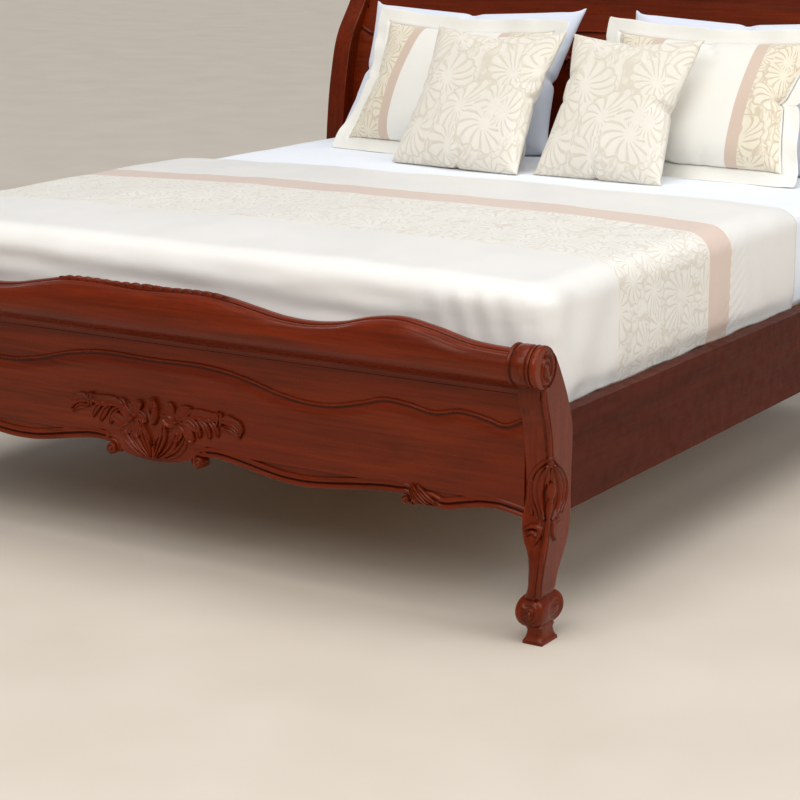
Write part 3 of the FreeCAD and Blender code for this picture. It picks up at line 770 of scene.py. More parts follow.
def half_spray(way, cx):
    """Ribs, leaf and cuff on one side of the cartouche."""
    def m(points):
        return [(cx + way * x, z, w) for x, z, w in points]
    return [
        ("leaf", 9, m([(86, 298, 4), (76, 276, 10), (58, 257, 10), (30, 242, 4)])),
        ("leaf", 9.5, m([(60, 298, 5), (50, 276, 11), (34, 257, 10), (12, 240, 4)])),
        ("leaf", 11, m([(28, 312, 6), (25, 290, 11), (15, 265, 9), (3, 241, 3)])),
        ("petal", 10.5, m([(88, 344, 6), (112, 350, 12), (142, 348, 13), (166, 350, 9),
                           (176, 355, 4)])),
        ("leaf", 9.5, m([(92, 338, 4), (110, 326, 10), (118, 311, 8), (120, 300, 3)])),
        ("leaf", 9.5, m([(118, 340, 4), (134, 327, 10), (143, 313, 8), (147, 302, 3)])),
        ("leaf", 8.5, m([(142, 342, 4), (157, 331, 9), (165, 319, 7), (168, 309, 3)])),
        ("round", 10.5, m([(169, 363, 2), (171, 351, 5), (169, 336, 3)])),
        ("round", 9.5, m([(178, 361, 2), (179, 348, 5), (177, 334, 3)])),
        ("petal", 11, m([(183, 345, 6), (198, 348, 12), (214, 344, 12), (226, 333, 9),
                         (229, 321, 3)])),
        ("leaf", 7, m([(184, 331, 4), (199, 329, 8), (213, 323, 7), (225, 313, 3)])),
    ]


FLOWERS = (half_spray(1, 4) + half_spray(-1, 2) + lily(-52, 322, 1) + lily(66, 327, -1)
           + [("round", 13.5, [(4, 318, 7), (3, 332, 15), (1, 348, 16), (1, 364, 9)]),
              ("cut", 8, [(2, 338, 3), (1, 350, 8), (1, 363, 7)]),
              ("leaf", 10.5, [(-26, 318, 3), (-22, 300, 7), (-12, 284, 6), (-4, 268, 2)]),
              ("leaf", 10.5, [(34, 316, 3), (28, 300, 7), (18, 284, 6), (8, 268, 2)]),
              ("round", 11, [(4, 262, 3), (5, 250, 5), (5, 240, 3)])])

HEAD_RISE = 590.0                # how far the head cartouche stands over the foot one
SUNK = -1.4                      # its bare ground lies this far under the field's face

low_edge = graph([(0, 230), (40, 233), (86, 243), (108, 254), (122, 268), (150, 290), (190, 306),
                  (240, 298)])
top_edge = graph([(0, 380), (52, 374), (110, 364), (190, 362), (244, 344)])
u = np.linspace(-243, 243, 420)
v = np.linspace(0, 1, 150)[:, None]
x = np.tile(u, (150, 1))
z = low_edge(np.abs(u)) * (1 - v) + top_edge(np.abs(u)) * v
relief = carve(x, z, FLOWERS, SUNK)
ground = fade(z, 296, 262) * fade(np.abs(x), 104, 78) * 4.0
plate = 3.2 * fade(np.abs(x - 6), 104, 74) * fade(z, 366, 330)
relief = np.maximum(relief, np.maximum(ground, plate) + SUNK)
swell = 1 + 0.35 * fade(np.abs(x), 120, 20)
relief = np.where(relief > 0, relief * swell, relief)
relief[:, :2] = relief[:, -2:] = relief[-2:] = SUNK
front = np.stack([x, FIELD - relief, z], -1)
back = np.stack([x, x * 0 + 46, z], -1)
knobs = [snail, mirror(snail)]
# painted shade in the carving's grooves and on the low ground beside its relief
groove_shade = hollow_shade(relief, 4, 3.0)
piece("foot_cartouche_carved", [slab(front, back, groove_shade)] + knobs, "x", ("foot_cartouche",), 70)
z = z + HEAD_RISE
face = HEAD_FACE(z)
front = np.stack([x, face + 5 + relief, z], -1)
back = np.stack([x, face + 1, z], -1)
piece("head_cartouche_carved", [turned(slab(front, back, groove_shade))], "x", ("head_cartouche",), 70)


# Carried-over pieces of the frame --------------------------------------------------

def dress(material, *names):
    """Give frame pieces that keep their own shape a finished material."""
    for name in names:
        mesh = NODES[name].data
        mesh.materials.clear()
        mesh.materials.append(material)


dress(mahogany["x"], "foot_panel", "head_panel", "head_lower_rail")
dress(rail_wood, "side_rail_left", "side_rail_right")
dress(beam_wood, "slat_ledge_left", "slat_ledge_right", "centre_beam")
dress(base_wood, "centre_leg_1", "centre_leg_2", *["slat_%02d" % (k + 1) for k in range(12)])
dress(steel, "rail_hook_plates", "rail_screws", "centre_beam_shoes")
dress(glide, "centre_leg_glides")


# Cloth materials -------------------------------------------------------------------

def weave(s, at, pitch):
    """Height of fine crossed threads, pitch to the metre."""
    warp, weft = (s.add("TexWave", {"Vector": at, "Scale": pitch}, out=1, bands_direction=way)
                  for way in "XY")
    return s.times(s.plus(warp, weft), 0.5)


def drifted(s, at, scale, detail, rough, reach):
    """A vector pushed about by up to reach metres, so that a pattern over it curls."""
    drift = s.noise(at, scale, detail, rough, out=1)
    push = s.add("VectorMath", {0: drift, 3: reach}, operation="SCALE")
    return s.add("VectorMath", {0: at, 1: push}, operation="ADD")


def leaves(s, at, size):
    """Woven scroll of curling leaves: 0 on the ground, 1 on the drawn lines and veins."""
    moved = drifted(s, at, 0.55 / size, 1.5, 0.45, 2.0 * size)

    def cell_edges(tilt, shift, across, along, randomness):
        grid = s.add("Mapping", {0: moved, 1: (shift, shift, 0), 2: (0, 0, tilt),
                                 3: (across / size, along / size, 1)})
        return s.add("TexVoronoi", {"Vector": grid, "Scale": 1.0, "Randomness": randomness},
                     feature="DISTANCE_TO_EDGE")

    lines = []
    for tilt, shift in ((0.5, 0.0), (-0.9, 0.37)):
        edge = cell_edges(tilt, shift, 1, 0.33, 0.75)
        outline = s.span(edge, 0.02, 0.075, 1.0, 0.0)
        small = cell_edges(tilt, shift, 3.2, 1.5, 0.6)
        veins = s.times(s.span(small, 0.03, 0.12, 1.0, 0.0), s.span(edge, 0.12, 0.26, 0.75, 0.0))
        lines.append(s.math("MAXIMUM", outline, veins))
    patch = s.span(s.noise(at, 0.8 / size, 1.0, 0.5), 0.46, 0.54)
    return s.plus(s.times(lines[0], patch), s.times(lines[1], s.math("SUBTRACT", 1.0, patch)))


FULL_TURN = 6.283


def fans(s, at, size):
    """Woven fans: ribs spread from a root inside a scalloped rim, each turned its own way."""
    moved = drifted(s, at, 0.7 / size, 1.0, 0.4, 1.1 * size)
    cells = s.add("TexVoronoi", {"Vector": moved, "Scale": 1 / size, "Randomness": 0.55},
                  voronoi_dimensions="2D").node.outputs
    from_root = s.add("VectorMath", {0: moved, 1: cells["Position"]}, operation="SUBTRACT")
    scaled = s.add("VectorMath", {0: from_root, 3: 1 / size}, operation="SCALE")
    spin = s.times(s.add("SeparateXYZ", {0: cells["Color"]}), FULL_TURN)
    local = s.add("VectorRotate", {"Vector": scaled, "Angle": spin}, rotation_type="Z_AXIS")
    x = s.add("SeparateXYZ", {0: local})
    y = s.plus(s.add("SeparateXYZ", {0: local}, out=1), 0.3)
    r = s.math("SQRT", s.plus(s.times(x, x), s.times(y, y)))
    a = s.math("ARCTAN2", x, y)
    swept = s.plus(s.times(a, 13.0), s.times(r, 6.0))
    rib = s.math("COSINE", swept)
    edge = s.plus(0.66, s.times(rib, 0.035))
    gap = s.math("ABSOLUTE", s.math("SUBTRACT", r, edge))
    rim = s.span(gap, 0.012, 0.04, 1.0, 0.0)
    inside = s.span(s.math("SUBTRACT", edge, r), 0.02, 0.07)
    ribs = s.times(s.times(s.span(rib, -0.9, -0.35, 1.0, 0.0), inside), s.span(r, 0.1, 0.22))
    return s.math("MAXIMUM", rim, ribs), inside


def strip(s, value, a, b, soft):
    """1 where value lies between a and b."""
    return s.times(s.span(value, a - soft, a + soft), s.span(value, b - soft, b + soft, 1.0, 0.0))


def damask(s, flat, fan, leaf, hidden):
    """Woven figure of fans, with leaves of the given size between them."""
    shells, inside = fans(s, flat, fan)
    fill = s.times(leaves(s, flat, leaf), s.math("SUBTRACT", 1.0, s.times(inside, hidden)))
    return s.math("MAXIMUM", shells, fill)


def grey(value):
    return value, value, value, 1


def cotton(name, tone):
    """Plain washed cotton with a faint slub."""
    s = Shader(name)
    s.set(Roughness=0.8, Sheen_Weight=0.25)
    at = s.here()
    drift = s.noise(at, 5.0, 3.0, 0.6)
    slub = s.noise(s.stretch(at, (60, 900, 200)), 1.0, 2.0, 0.5)
    s.set(Base_Color=s.mix(s.times(s.plus(drift, slub), 0.5),
                           linear(*[0.955 * t for t in tone]), linear(*tone)),
          Normal=s.bump(weave(s, at, 420.0), 0.00012, 0.5,
                        s.bump(s.noise(at, 26.0, 3.0, 0.55), 0.0012, 0.35)))
    return s.material


def spread_satin():
    """Bedspread satin: plain ends, a wide damask band and a taupe stripe edged with piping.

    The cloth attribute holds where each point lies on the flat cloth, in metres.
    """
    s = Shader("spread_satin")
    s.set(Sheen_Weight=0.3, Sheen_Roughness=0.35)
    flat = s.attribute("cloth", 1)
    along = s.add("SeparateXYZ", {0: flat}, out=1)

    def band(a, b):
        return strip(s, along, a, b, 0.0012)

    figured = band(0.400, 0.840)
    stripe = band(0.840, 0.960)
    piping = s.math("MAXIMUM", s.math("MAXIMUM", band(0.837, 0.843), band(0.957, 0.963)),
                    s.math("MAXIMUM", band(0.399, 0.402), band(1.326, 1.329)))
    rib = s.noise(s.stretch(flat, (2600, 300, 1)), 1.0, 2.0, 0.5)
    clouds = s.noise(flat, 4.0, 2.0, 0.5)
    ivory = s.mix(clouds, linear(226, 222, 215), linear(235, 232, 227))
    woven = s.times(damask(s, flat, 0.085, 0.034, 0.85), figured)
    colour = s.mix(figured, ivory, linear(234, 230, 221))
    colour = s.mix(s.times(woven, 0.6), colour, linear(200, 188, 168))
    taupe = s.mix(rib, linear(208, 184, 168), linear(226, 206, 192))
    colour = s.mix(stripe, colour, taupe)
    colour = s.mix(piping, colour, linear(240, 228, 214))
    threads = s.times(weave(s, flat, 1100.0), 0.25)
    relief = s.plus(s.times(woven, -0.9), s.plus(s.times(piping, 1.5), threads))
    soft = s.bump(s.noise(flat, 16.0, 3.0, 0.55), 0.0016, 0.35)
    s.set(Base_Color=colour,
          Roughness=s.mix(woven, grey(0.42), grey(0.7)),
          Normal=s.bump(relief, 0.0005, 0.6, soft))
    return s.material


def shell_damask():
    """Cushion damask: large fans and curling leaves, cream on cream."""
    s = Shader("cushion_damask")
    s.set(Sheen_Weight=0.3)
    flat = s.attribute("cloth", 1)
    figure = damask(s, flat, 0.105, 0.04, 0.9)
    colour = s.mix(s.noise(flat, 6.0), linear(232, 224, 208), linear(241, 235, 222))
    colour = s.mix(s.times(figure, 0.5), colour, linear(204, 190, 166))
    relief = s.plus(figure, s.times(weave(s, flat, 900.0), 0.25))
    s.set(Base_Color=colour, Roughness=s.mix(figure, grey(0.55), grey(0.74)),
          Normal=s.bump(relief, 0.0009, 0.8))
    return s.material


def sham_satin(width, height):
    """Sham: satin inside a damask band and a taupe stripe, with a white flange."""
    s = Shader("sham_satin")
    s.set(Sheen_Weight=0.3)
    flat = s.attribute("cloth", 1)
    x = s.math("ABSOLUTE", s.add("SeparateXYZ", {0: flat}))
    up = s.math("ABSOLUTE", s.add("SeparateXYZ", {0: flat}, out=1))
    rise = height / 2000 - 0.044
    within = s.span(up, rise - .001, rise + .001, 1.0, 0.0)

    def band(a, b):
        return s.times(within, strip(s, x, a, b, 0.001))

    half = width / 2000
    stripe, figured = band(half - 0.21, half - 0.175), band(half - 0.175, half - 0.055)
    figure = s.times(damask(s, flat, 0.08, 0.032, 0.9), figured)
    rib = s.noise(s.stretch(flat, (300, 2600, 1)), 1.0, 2.0)
    colour = s.mix(s.noise(flat, 5.0), linear(232, 228, 217), linear(242, 239, 231))
    colour = s.mix(figured, colour, linear(232, 222, 200))
    colour = s.mix(s.times(figure, 0.7), colour, linear(196, 178, 148))
    colour = s.mix(stripe, colour, s.mix(rib, linear(200, 176, 156), linear(220, 198, 180)))
    relief = s.plus(figure, s.times(weave(s, flat, 1000.0), 0.25))
    s.set(Base_Color=colour, Roughness=s.mix(figure, grey(0.42), grey(0.7)),
          Normal=s.bump(relief, 0.0006, 0.7, s.bump(s.noise(flat, 14.0, 3.0), 0.002, 0.3)))
    return s.material


def ticking():
    """Mattress cover: knitted white with a quilted diamond."""
    s = Shader("mattress_ticking")
    s.set(Roughness=0.85)
    at = s.here()
    turned_45 = s.add("Mapping", {0: at, 2: (0, 0, math.pi / 4)})
    a, b = (s.add("TexWave", {"Vector": turned_45, "Scale": 2.4}, out=1, bands_direction=way)
            for way in "XY")
    quilt = s.span(s.math("MINIMUM", a, b), 0.0, 0.5)
    knit = s.noise(at, 900.0, 2.0, 0.5)
    s.set(Base_Color=s.mix(knit, linear(220, 220, 218), linear(236, 235, 231)),
          Normal=s.bump(knit, 0.0002, 0.4, s.bump(quilt, 0.004, 0.6)))
    return s.material


# Bedding ---------------------------------------------------------------------------

def axis_points(low, high, r, step):
    turn = np.linspace(0, 1, 8)[:-1] ** 1.4
    middle = np.linspace(low + r, high - r, max(2, int((high - low - 2 * r) / step) + 1))
    return np.concatenate([low + r * turn, middle, (high - r * turn)[::-1]])


def hull_grid(low, high, radii, steps, faces="xXyYzZ"):
    """Surface of a rounded block as welded grids. Returns points, normals and quads.

    radii rounds each axis; faces leaves out sides that aren't named.
    """
    axes = [axis_points(low[k], high[k], radii[k], steps[k]) for k in range(3)]
    points, quads, first = [], [], 0
    for k, letter in enumerate("xyz"):
        i, j = [m for m in range(3) if m != k]
        for end, name in ((low[k], letter), (high[k], letter.upper())):
            if name not in faces:
                continue
            a, b = np.meshgrid(axes[i], axes[j], indexing="ij")
            grid = np.empty(a.shape + (3,))
            grid[..., i], grid[..., j], grid[..., k] = a, b, end
            idx = first + np.arange(a.size).reshape(a.shape)
            points.append(grid.reshape(-1, 3))
            quads.append(np.stack([idx[:-1, :-1], idx[1:, :-1], idx[1:, 1:], idx[:-1, 1:]],
                                  -1).reshape(-1, 4))
            first += a.size
    points, quads = np.vstack(points), np.vstack(quads)
    keys, keep, back = np.unique(np.round(points, 3), axis=0, return_index=True,
                                 return_inverse=True)
    quads, points = back.reshape(-1)[quads], points[keep]
    low, high, r = np.array(low), np.array(high), np.array(radii, float)
    core = np.clip(points, low + r, high - r)
    d = (points - core) / r
    length = np.linalg.norm(d, axis=1, keepdims=True)
    unit = d / np.maximum(length, 1e-9)
    moved = np.where(length > 1e-6, core + unit * r, points)
    normal = unit / r
    normal /= np.maximum(np.linalg.norm(normal, axis=1, keepdims=True), 1e-9)
    return moved, normal, quads


def trim(points, normals, quads, keep):
    """The part of a surface whose quads lie wholly where keep says."""
    quads = quads[keep(points)[quads].all(1)]
    used = np.unique(quads)
    number = np.full(len(points), -1)
    number[used] = np.arange(len(used))
    return points[used], normals[used], number[quads]


def wrinkle_noise(p, scale, seed, octaves=3):
    """Smooth repeatable noise from sums of slanted waves, about -1 to 1."""
    rng = np.random.RandomState(seed)
    out, amp = np.zeros(len(p)), 1.0
    for o in range(octaves):
        for _ in range(5):
            k = rng.normal(size=p.shape[1])
            k *= 2 * math.pi * 2**o / scale / np.linalg.norm(k)
            out += amp * np.sin(p @ k + rng.uniform(0, 2 * math.pi)) / 3.2
        amp *= 0.5
    return out


def cloth_object(name, points, quads, material, thickness, flat=None):
    """A smooth surface, closed by a copy of itself set inwards where thickness isn't 0.

    flat gives each point's place on the cloth as it was cut, in metres.
    """
    mesh = bpy.data.meshes.new(name)
    mesh.from_pydata(place(points).tolist(), [], quads.tolist())
    mesh.polygons.foreach_set("use_smooth", [True] * len(mesh.polygons))
    if flat is not None:
        attribute = mesh.attributes.new("cloth", "FLOAT_VECTOR", "POINT")
        attribute.data.foreach_set("vector", flat.astype(np.float32).ravel())
    mesh.materials.append(material)
    obj = bpy.data.objects.new(name, mesh)
    bpy.context.scene.collection.objects.link(obj)
    bm = bmesh.new()
    bm.from_mesh(mesh)
    bmesh.ops.recalc_face_normals(bm, faces=bm.faces)
    bm.to_mesh(mesh)
    bm.free()
    if thickness:
        thick = obj.modifiers.new("thickness", "SOLIDIFY")
        thick.thickness, thick.offset = thickness / 1000, -1
        apply(obj)
    return obj


def apply(obj):
    """Bake every modifier on obj into its mesh."""
    depsgraph = bpy.context.evaluated_depsgraph_get()
    baked = bpy.data.meshes.new_from_object(obj.evaluated_get(depsgraph),
                                            preserve_all_data_layers=True,
                                            depsgraph=depsgraph)
    obj.modifiers.clear()
    obj.data = baked


BED_TOP, SLAT_TOP = 677.0, 425.0


def crown(p, half):
    """The bed's gentle rise towards its middle and towards the foot; half is its half width."""
    across = np.clip(np.abs(p[:, 0]) / half, 0, 1)
    return (1 - across**3) * (4 + 14 * fade(p[:, 1], 1520, 1120) * fade(p[:, 1], 80, 420))


# mattress
co, no, quads = hull_grid((-898, 102, SLAT_TOP), (898, 2098, 672), (38, 38, 24), (60, 60, 40))
tape = sum(np.exp(-((co[:, 2] - z) / 5) ** 2) for z in (SLAT_TOP + 20, 652))
edge = np.linalg.norm(no[:, :2], axis=1)
co += no * (tape * 1.4 * edge)[:, None]
co[:, 2] = np.clip(co[:, 2], SLAT_TOP, None)
mattress = cloth_object("mattress_body", co, quads, ticking(), 0)

# fitted sheet
co, no, quads = trim(*hull_grid((-902, 98, 380), (902, 2102, BED_TOP), (42, 42, 40),
                                (18, 14, 12), "xXyYZ"), lambda p: p[:, 2] >= 440)
share = fade(co[:, 2], 640, BED_TOP)
co[:, 2] += crown(co, 900.0) * share - 3.0 * share
side = 1 - share
ripple = (wrinkle_noise(co * [1, 1, .25], 190, 3) * 1.2 * side
          + wrinkle_noise(co, 420, 5) * 1.1 * share)
co += no * ripple[:, None]
sheet = cloth_object("fitted_sheet_cloth", co, quads,
                     cotton("sheet_cotton", (236, 240, 246)), 1.6)

# bedspread: it ends at station END on top, and its hem hangs at HEM
END, HEM, HALF, TOP = 1340.0, 441.0, 915.0, 691.0
co, no, quads = trim(*hull_grid((-HALF, 85.5, HEM - 64), (HALF, 1900, TOP), (58, 58, 52),
                                (11, 11, 8), "xXyZ"),
                     lambda p: (p[:, 1] <= END + 6) & (p[:, 2] >= HEM - 4))
co[:, 1] = np.minimum(co[:, 1], END)
co[:, 2] = np.maximum(co[:, 2], HEM)
x, y, z = co.T
drop = TOP - z
share = fade(z, 640, 689)
flat = np.stack([x + np.sign(x) * drop * (np.abs(x) > 840), y - drop * (y < 150), x * 0],
                -1) / 1000
# h is how far the cloth stands off its plain shape: first the top, then the sides' long folds,
# fine creases, a slanting tug, swags by the foot corner, and the corner's own folds
h = wrinkle_noise(co[:, :2], 520, 11) * 2.0 * share
h += wrinkle_noise(co[:, :2] @ np.array([[1, .35], [-.2, 1]]) * [1, .4], 240, 12) * share
side = (1 - share) * (np.abs(x) > 860) * fade(y, 150, 210)
folds = wrinkle_noise(np.column_stack([y + 0.35 * (z - 560), z * .22]), 210, 13) * 2.2
fine = wrinkle_noise(np.column_stack([y + 0.5 * (z - 560), z * .3]), 60, 14, 2) * 0.7
slant = np.sin((z - 0.55 * (y - 900)) / 13 * math.pi) * np.exp(-((y - 985) / 62) ** 2) * 1.5
swags = np.sin((y - 0.5 * (z - 560)) / 31) * fade(y, 560, 330) * 2.6 * fade(z, 690, 560)
h += side * (folds + fine * fade(y, 700, 500) + slant + swags) * fade(z, 700, 640)
corner = np.exp(-((y - 150) / 75) ** 2) * (np.abs(x) > 870) * (1 - share)
h += corner * (np.sin((y + (z - 600) * .22) / 21) * 3.4)
# the drop at the foot, with small folds near its corners
foot = (1 - share) * (y < 150)
h += foot * wrinkle_noise(np.column_stack([x * .3, z]), 80, 15) * 1.2
near = np.exp(-((np.abs(x) - 760) / 110) ** 2)
h += foot * near * np.sin((x + 0.3 * z) / 9.0) * 2.6 * fade(z, 690, 660)
h += foot * np.sin((z + 0.04 * x) / 9.0) * 1.6 * fade(z, 700, 660) * fade(np.abs(x), 700, 500)
# tucked in unevenly where it goes down behind the rail
tucked = 5.0 + 3.0 * wrinkle_noise(np.column_stack([y, y * 0]), 110, 16)
h -= side * tucked * fade(z, 482, 448)
h = np.clip(h, -6, 4.2)
co += no * h[:, None]
co[:, 2] += crown(co, HALF) * share
co[:, 2] -= 9.0 * share * fade(y, 1250, 1345)
co[:, 2] += (z < HEM + 12) * 2.5 * np.sin(y / 37 + x / 53)
# clear of the rails and of the footboard
co[:, 0] = np.clip(co[:, 0], -923, 923)
co[:, 1] = np.maximum(co[:, 1], 83.5)
spread = cloth_object("bedspread_cloth", co, quads, spread_satin(), 5.0, flat)
for obj, body, slot, node in ((mattress, "mattress", "ticking", "mattress"),
                              (sheet, "mattress", "sheet_cotton", "fitted_sheet"),
                              (spread, "bedspread", "spread_satin", "bedspread")):
    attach(obj, body)
    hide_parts(node)


# Pillows ---------------------------------------------------------------------------

LEAN = 30.0              # how far every pillow leans back
CELLS = 46               # mesh cells along each side of a pillow


def stuffed(name, size, spot, material, turn, flange=0.0):
    """A pillow: two sheets sewn round the edge, blown up by a short cloth simulation.

    size is width, height and thickness; spot is the x and station of its bottom edge, turn
    its angle on the bed in degrees, flange the width of a flat border round it.
    """
    width, height, thick = size
    a = np.linspace(-1, 1, CELLS + 1)
    u, v = np.meshgrid(a, a, indexing="ij")
    inner = (width / 2 - flange, height / 2 - flange)
    pull = 0.035
    x = inner[0] * u * (1 - pull * (1 - v**2) * np.abs(u) ** 3)
    z = inner[1] * v * (1 - pull * (1 - u**2) * np.abs(v) ** 3)
    bulge = ((1 - u**2) * (1 - v**2)) ** 0.5
    start = 0.5 * thick * 0.9 * bulge
    idx = np.arange(u.size).reshape(u.shape)
    other = idx.copy()
    inside = (np.abs(u) < 1 - 1e-9) & (np.abs(v) < 1 - 1e-9)
    other[inside] = u.size + np.arange(inside.sum())
    top = np.stack([x, -start, z], -1).reshape(-1, 3)
    co = np.vstack([top, np.stack([x, start, z], -1)[inside]])
    quads = np.vstack([np.stack([g[:-1, :-1], g[1:, :-1], g[1:, 1:], g[:-1, 1:]],
                                -1).reshape(-1, 4)[:, ::way] for g, way in ((idx, 1), (other, -1))])
    flat = np.stack([inner[0] * u, inner[1] * v, u * 0], -1) / 1000
    flat = np.vstack([flat.reshape(-1, 3), flat[inside] + [0.31, 0.17, 0]])
    mesh = bpy.data.meshes.new(name)
    mesh.from_pydata((co / 1000).tolist(), [], quads.tolist())
    attribute = mesh.attributes.new("cloth", "FLOAT_VECTOR", "POINT")
    attribute.data.foreach_set("vector", flat.astype(np.float32).ravel())
    mesh.polygons.foreach_set("use_smooth", [True] * len(mesh.polygons))
    mesh.materials.append(material)
    obj = bpy.data.objects.new(name, mesh)
    bpy.context.scene.collection.objects.link(obj)
    blow_up(obj)
    co = np.array([p.co for p in obj.data.vertices]) * 1000
    half = np.abs(co).max(0)
    co *= np.array([inner[0] - 1, thick / 2 - 2, inner[1] - 1]) / half
    if flange:
        co = add_flange(obj, co, flat, inner, flange)
    # the filling settles, so the pillow is fuller low down
    co[:, 1] *= 0.86 + 0.14 * fade(co[:, 2], 0.6 * inner[1], -0.7 * inner[1])
    tip = math.radians(LEAN)
    # the lower edge lies along the bed, straight between its corners
    bottom = co[:, 2].min()
    across = np.linspace(-0.49, 0.49, 25) * width
    edge = [co[np.abs(co[:, 0] - a) < 0.03 * width, 2].min() - bottom for a in across]
    hang = np.interp(co[:, 0], across, edge)
    co[:, 2] -= hang * fade(co[:, 2], 0.0, -0.8 * inner[1])
    y = co[:, 1] * math.cos(tip) + co[:, 2] * math.sin(tip)
    z = co[:, 2] * math.cos(tip) - co[:, 1] * math.sin(tip)
    y -= y[np.argmin(co[:, 2])]
    # it sinks in, and is pressed nearly flat where it does
    ground = BED_TOP + 1.5
    z += ground - 9 - z.min()
    z = ground + np.where(z > ground, z - ground, 0.12 * (z - ground))
    c, t = math.cos(math.radians(turn)), math.sin(math.radians(turn))
    moved = np.column_stack([co[:, 0] * c - y * t + spot[0], co[:, 0] * t + y * c + spot[1], z])
    obj.data.vertices.foreach_set("co", place(moved).astype(np.float32).ravel())
    obj.data.update()
    smooth = obj.modifiers.new("smooth", "SUBSURF")
    smooth.levels = smooth.render_levels = 1
    apply(obj)
    body = name.removesuffix("_cover")
    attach(obj, body)
    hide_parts(body)


def blow_up(obj):
    """Fill a sewn case by a cloth simulation, and keep the result in its mesh."""
    scene = bpy.context.scene
    scene.frame_set(1)
    cloth = obj.modifiers.new("cloth", "CLOTH")
    cloth.settings.quality = 6
    cloth.settings.mass = 0.25
    cloth.settings.tension_stiffness = 18
    cloth.settings.compression_stiffness = 9
    cloth.settings.shear_stiffness = 5
    cloth.settings.bending_stiffness = 0.35
    cloth.settings.shrink_min = -0.02
    cloth.settings.use_pressure = True
    cloth.settings.uniform_pressure_force = 9.0
    cloth.settings.effector_weights.gravity = 0
    cloth.collision_settings.use_collision = False
    cloth.point_cache.frame_start, cloth.point_cache.frame_end = 1, 26
    for f in range(1, 26):
        scene.frame_set(f)
    apply(obj)
    scene.frame_set(1)


def add_flange(obj, co, flat, inner, flange):
    """Flat border sewn on outside the stuffed part, both faces of it. Returns all the points."""
    bm = bmesh.new()
    bm.from_mesh(obj.data)
    bm.verts.ensure_lookup_table()
    layer = bm.verts.layers.float_vector.get("cloth")
    idx = np.arange((CELLS + 1) ** 2).reshape(CELLS + 1, CELLS + 1)
    ring = np.concatenate([idx[:-1, 0], idx[-1, :-1], idx[:0:-1, -1], idx[0, :0:-1]])
    seam = [bm.verts[i] for i in ring]
    hems = []
    for face in (-1, 1):
        previous = seam
        for t in (0.12, 0.3, 0.5, 0.7, 0.88, 1.0):
            row = []
            for k, i in enumerate(ring):
                p = co[i]
                f = flat[i] * 1000
                grow = np.array([p[0] / inner[0], p[2] / inner[1]])
                if max(abs(grow)) < 0.999:
                    grow = grow / max(abs(grow))
                out = np.array([np.sign(grow[0]) * fade(abs(grow[0]), .93, 1),
                                np.sign(grow[1]) * fade(abs(grow[1]), .93, 1)])
                wave = 4.5 * t * math.sin(k * 0.41 + 1.3 * math.sin(k * .13))
                q = (p[0] + out[0] * flange * t, face * (1.3 if t > .2 else 2.6) + wave,
                     p[2] + out[1] * flange * t)
                w = bm.verts.new(q)
                w[layer] = ((f[0] + out[0] * flange * t) / 1000,
                            (f[1] + out[1] * flange * t) / 1000, 0)
                row.append(w)
            for k in range(len(ring)):
                m = (k + 1) % len(ring)
                loop = (previous[k], previous[m], row[m], row[k])
                bm.faces.new(loop if face > 0 else loop[::-1]).smooth = True
            previous = row
        hems.append(previous)
    for k in range(len(ring)):
        m = (k + 1) % len(ring)
        bm.faces.new((hems[0][k], hems[0][m], hems[1][m], hems[1][k])).smooth = True
    extra = [v.co[:] for v in bm.verts][len(co):]
    bmesh.ops.recalc_face_normals(bm, faces=bm.faces)
    bm.to_mesh(obj.data)
    bm.free()
    return np.vstack([co, np.array(extra)])


damask_cream = shell_damask()
stuffed("cushion_left_cover", (450, 440, 122), (-175, 1560), damask_cream,
        -8)
stuffed("cushion_right_cover", (412, 430, 122), (261, 1560), damask_cream,
        -3)
sham_cloth = sham_satin(700, 470)
stuffed("sham_left_cover", (700, 470, 134), (-380, 1732), sham_cloth, -8, 45)
stuffed("sham_right_cover", (700, 470, 134), (413, 1716), sham_cloth, -4, 45)
pillow_cloth = cotton("pillow_cotton", (222, 227, 238))
stuffed("pillow_left_cover", (730, 480, 152), (-430, 1905), pillow_cloth, 0)
stuffed("pillow_right_cover", (730, 480, 152), (440, 1905), pillow_cloth, 0)


# Stage -----------------------------------------------------------------------------

def stage():
    """Plain pale floor."""
    floor = bpy.data.meshes.new("floor")
    floor.from_pydata([(-40, -40, 0), (40, -40, 0), (40, 40, 0), (-40, 40, 0)], [], [(0, 1, 2, 3)])
    s = Shader("pale_floor")
    speck = s.noise(s.here(), 3.0, 3.0, 0.5)
    s.set(Base_Color=s.mix(speck, linear(197, 186, 171), linear(206, 196, 182)),
          Roughness=s.span(speck, 0.2, 0.8, 0.5, 0.6))
    floor.materials.append(s.material)
    obj = bpy.data.objects.new("floor", floor)
    bpy.context.scene.collection.objects.link(obj)


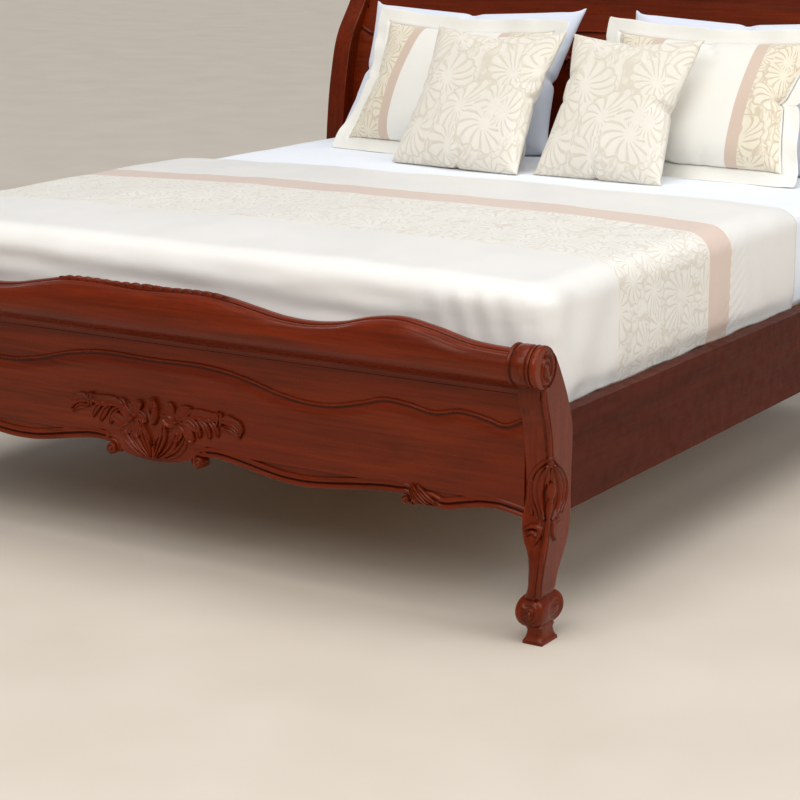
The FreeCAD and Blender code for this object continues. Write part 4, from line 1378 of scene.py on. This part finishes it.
def area_light(name, at, towards, size, power, colour):
    light = bpy.data.lights.new(name, "AREA")
    light.shape = "RECTANGLE"
    light.size, light.size_y = size
    light.energy, light.color = power, colour
    obj = bpy.data.objects.new(name, light)
    obj.location = at
    obj.rotation_mode = "QUATERNION"
    obj.rotation_quaternion = (Vector(towards) - Vector(at)).to_track_quat("-Z", "Y")
    bpy.context.scene.collection.objects.link(obj)


def sky_light(name, comes_from, spread, power, colour):
    """Soft light of one strength everywhere, from a wide patch of ceiling."""
    light = bpy.data.lights.new(name, "SUN")
    light.angle = math.radians(spread)
    light.energy, light.color = power, colour
    obj = bpy.data.objects.new(name, light)
    obj.rotation_mode = "QUATERNION"
    obj.rotation_quaternion = (-Vector(comes_from)).to_track_quat("-Z", "Y")
    bpy.context.scene.collection.objects.link(obj)


def camera():
    """Looks at the bed from beyond its right foot corner, a little from above."""
    turn, dip = math.radians(32.2), math.radians(13.5)
    look = Vector((-math.sin(turn) * math.cos(dip), math.cos(turn) * math.cos(dip),
                   -math.sin(dip)))
    data = bpy.data.cameras.new("camera")
    data.sensor_width, data.lens = 36.0, 99.27
    obj = bpy.data.objects.new("camera", data)
    obj.location = (2.8934, -4.7347, 1.4676)
    obj.rotation_mode = "QUATERNION"
    obj.rotation_quaternion = look.to_track_quat("-Z", "Y")
    bpy.context.scene.collection.objects.link(obj)
    bpy.context.scene.camera = obj


stage()
camera()
world = bpy.data.worlds.new("studio")
world.use_nodes = True
world.node_tree.nodes["Background"].inputs[0].default_value = (0.96, 0.98, 1.0, 1)
world.node_tree.nodes["Background"].inputs[1].default_value = 0.3
bpy.context.scene.world = world
bpy.context.scene.view_settings.view_transform = "Standard"
area_light("key", (0.6, -4.8, 3.6), (0, -0.8, 0.4), (4.2, 2.4), 118, (1.0, 0.99, 0.98))
area_light("side", (5.0, -0.8, 2.6), (0.4, 0, 0.4), (2.6, 2.4), 84, (0.94, 0.97, 1.0))
sky_light("overhead", (0.5, -0.5, 4.0), 60, 2.05, (0.99, 0.99, 1.0))
